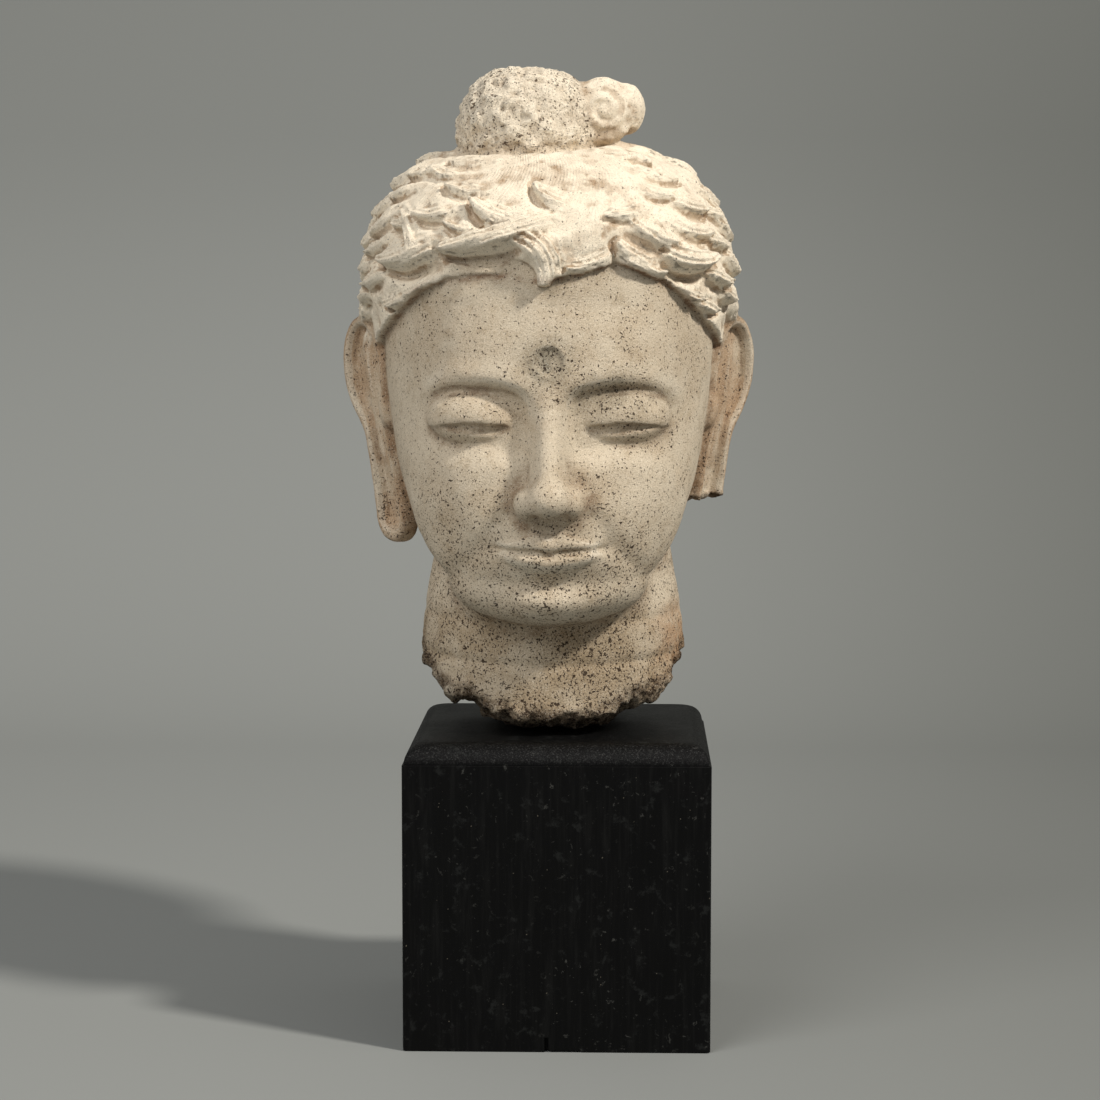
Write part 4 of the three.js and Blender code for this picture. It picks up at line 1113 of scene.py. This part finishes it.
def paint_material():
    g = Graph("worn_black_paint")
    tint = {name: colour(*shade) for name, shade in PAINT_SHADES.items()}
    place = g.place()
    upright = g.stretched(place, (1.0, 1.0, 0.045))
    grain = g.noise(upright, 1.6, 5.0, 0.6)
    broad = g.noise(g.stretched(place, (1.0, 1.0, 0.12)), 5.0, 4.0, 0.65)
    cloud = g.noise(place, 30.0, 3.0, 0.5)
    speck = g.pits(g.moved(place, 3.0, 2.0), 5.0, 0.09, 0.3)
    wear_and_glint = g.attribute("wear_and_glint")
    flake = (g.noise(g.moved(place, 6.0, 5.0), 3.2, 4.0, 0.7) - 0.62).ramp(0.0, 0.06)
    base = g.blend(tint["paint"], tint["grain"], grain.ramp(0.5, 0.75) * 0.6)
    base = g.blend(base, tint["broad streak"], broad.ramp(0.52, 0.72) * 0.45)
    scuff = g.noise(g.moved(place, 4.0, 3.0), 8.0, 5.0, 0.7)
    base = g.blend(base, tint["scuff"], scuff.ramp(0.56, 0.68) * 0.7)
    base = g.blend(base, tint["flake"], flake * (0.2 + 0.7 * cloud.ramp(0.45, 0.65)))
    base = g.blend(base, tint["speck"], speck * 0.7)
    glint = g.noise(place, 0.8, 3.0, 0.7)
    height = grain + broad * 0.6 + cloud * 0.4 + wear_and_glint * glint * 2.0
    # Painted highlight: light specks glinting on the rounded top edge
    base = g.blend(base, tint["glint"], wear_and_glint * glint.ramp(0.5, 0.75) * 0.35)
    shine = grain * 0.2 + cloud * 0.12 + broad * 0.15 + 0.24 + wear_and_glint * 0.10
    relief = g.add("ShaderNodeBump", None, {"Strength": 0.6, "Distance": 0.25 * MM, "Height": height})
    g.set(base_color=base, roughness=shine, normal=relief)
    g.shader.inputs["Specular IOR Level"].default_value = 0.13
    return g.material


def backdrop_material():
    """Pale grey with painted shade: a little darker to the right and towards the top, as light falls on
    a studio sweep.
    """
    g = Graph("pale_floor")
    place = g.place()
    across = g.add("ShaderNodeSeparateXYZ", None, {0: place}, output="X")
    up = g.add("ShaderNodeSeparateXYZ", None, {0: place}, output="Z")
    # Painted shade: darker to the right and towards the top
    base = g.blend(colour(138, 140, 137), colour(98, 100, 96), across.ramp(-0.2, 0.7))
    base = g.blend(base, colour(110, 112, 108), up.ramp(0.0, 1.2) * 0.7)
    g.set(base_color=base, roughness=0.9)
    return g.material


def build_backdrop():
    """A pale floor that rises into the wall behind in one sweep, in metres."""
    width, near, far, height, bend = 4.0, -2.2, 1.3, 2.6, 0.5
    line = [(near, 0.0), (0.0, 0.0), (far - bend, 0.0)]
    line += [(far - bend + bend * math.sin(a), bend - bend * math.cos(a))
             for a in (math.radians(d) for d in range(6, 91, 6))]
    line.append((far, height))
    points = [(side * width / 2, y, z) for y, z in line for side in (-1, 1)]
    faces = [(2 * i, 2 * i + 1, 2 * i + 3, 2 * i + 2) for i in range(len(line) - 1)]
    mesh = bpy.data.meshes.new("backdrop")
    mesh.from_pydata(points, [], faces)
    mesh.shade_smooth()
    obj = bpy.data.objects.new("backdrop", mesh)
    bpy.context.scene.collection.objects.link(obj)
    mesh.materials.append(backdrop_material())


# Camera: place, turn and pitch in degrees, lens
CAMERA_PLACE = Vector((31.8, -1313.0, 345.4)) * MM
CAMERA_TURN = 1.6
CAMERA_PITCH = 5.18
LENS = 90.0


def build_camera():
    data = bpy.data.cameras.new("view")
    data.lens = LENS
    data.sensor_width = 36.0
    data.clip_start = 0.05
    obj = bpy.data.objects.new("view", data)
    obj.location = CAMERA_PLACE
    obj.rotation_euler = (math.radians(90 - CAMERA_PITCH), 0, math.radians(CAMERA_TURN))
    bpy.context.scene.collection.objects.link(obj)
    bpy.context.scene.camera = obj


# Lights: the direction they come from, distance and size in metres, power in watts and tint
LIGHT_AIM = (0, 0, 0.28)
LIGHTS = {
    "key": ((0.88, -0.56, 0.90), 4.5, 0.5, 195.0, (1.0, 0.96, 0.90)),
    "fill": ((-0.75, -1.0, 1.0), 3.0, 2.0, 47.0, (1.0, 0.98, 0.96)),
}
ROOM_TINT = (0.95, 0.97, 1.0, 1.0)
ROOM_STRENGTH = 0.30


def add_light(name, direction, distance, size, power, tint):
    aim = Vector(LIGHT_AIM)
    data = bpy.data.lights.new(name, "AREA")
    data.shape = "DISK"
    data.size = size
    data.energy = power
    data.color = tint
    obj = bpy.data.objects.new(name, data)
    obj.location = aim + Vector(direction).normalized() * distance
    obj.rotation_euler = (aim - obj.location).to_track_quat("-Z", "Y").to_euler()
    bpy.context.scene.collection.objects.link(obj)


def build_light():
    for name, values in LIGHTS.items():
        add_light(name, *values)
    world = bpy.data.worlds.new("room")
    world.use_nodes = True
    back = world.node_tree.nodes["Background"]
    back.inputs["Color"].default_value = ROOM_TINT
    back.inputs["Strength"].default_value = ROOM_STRENGTH
    bpy.context.scene.world = world
    bpy.context.scene.view_settings.view_transform = "Standard"


def main():
    stucco = build_head()
    stucco.data.materials.append(stucco_material())
    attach(stucco, "root")
    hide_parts("stucco_head")
    block = build_plinth()
    block.data.materials.clear()
    block.data.materials.append(paint_material())
    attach(block, "root")
    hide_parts("plinth_block")
    build_backdrop()
    build_camera()
    build_light()


main()
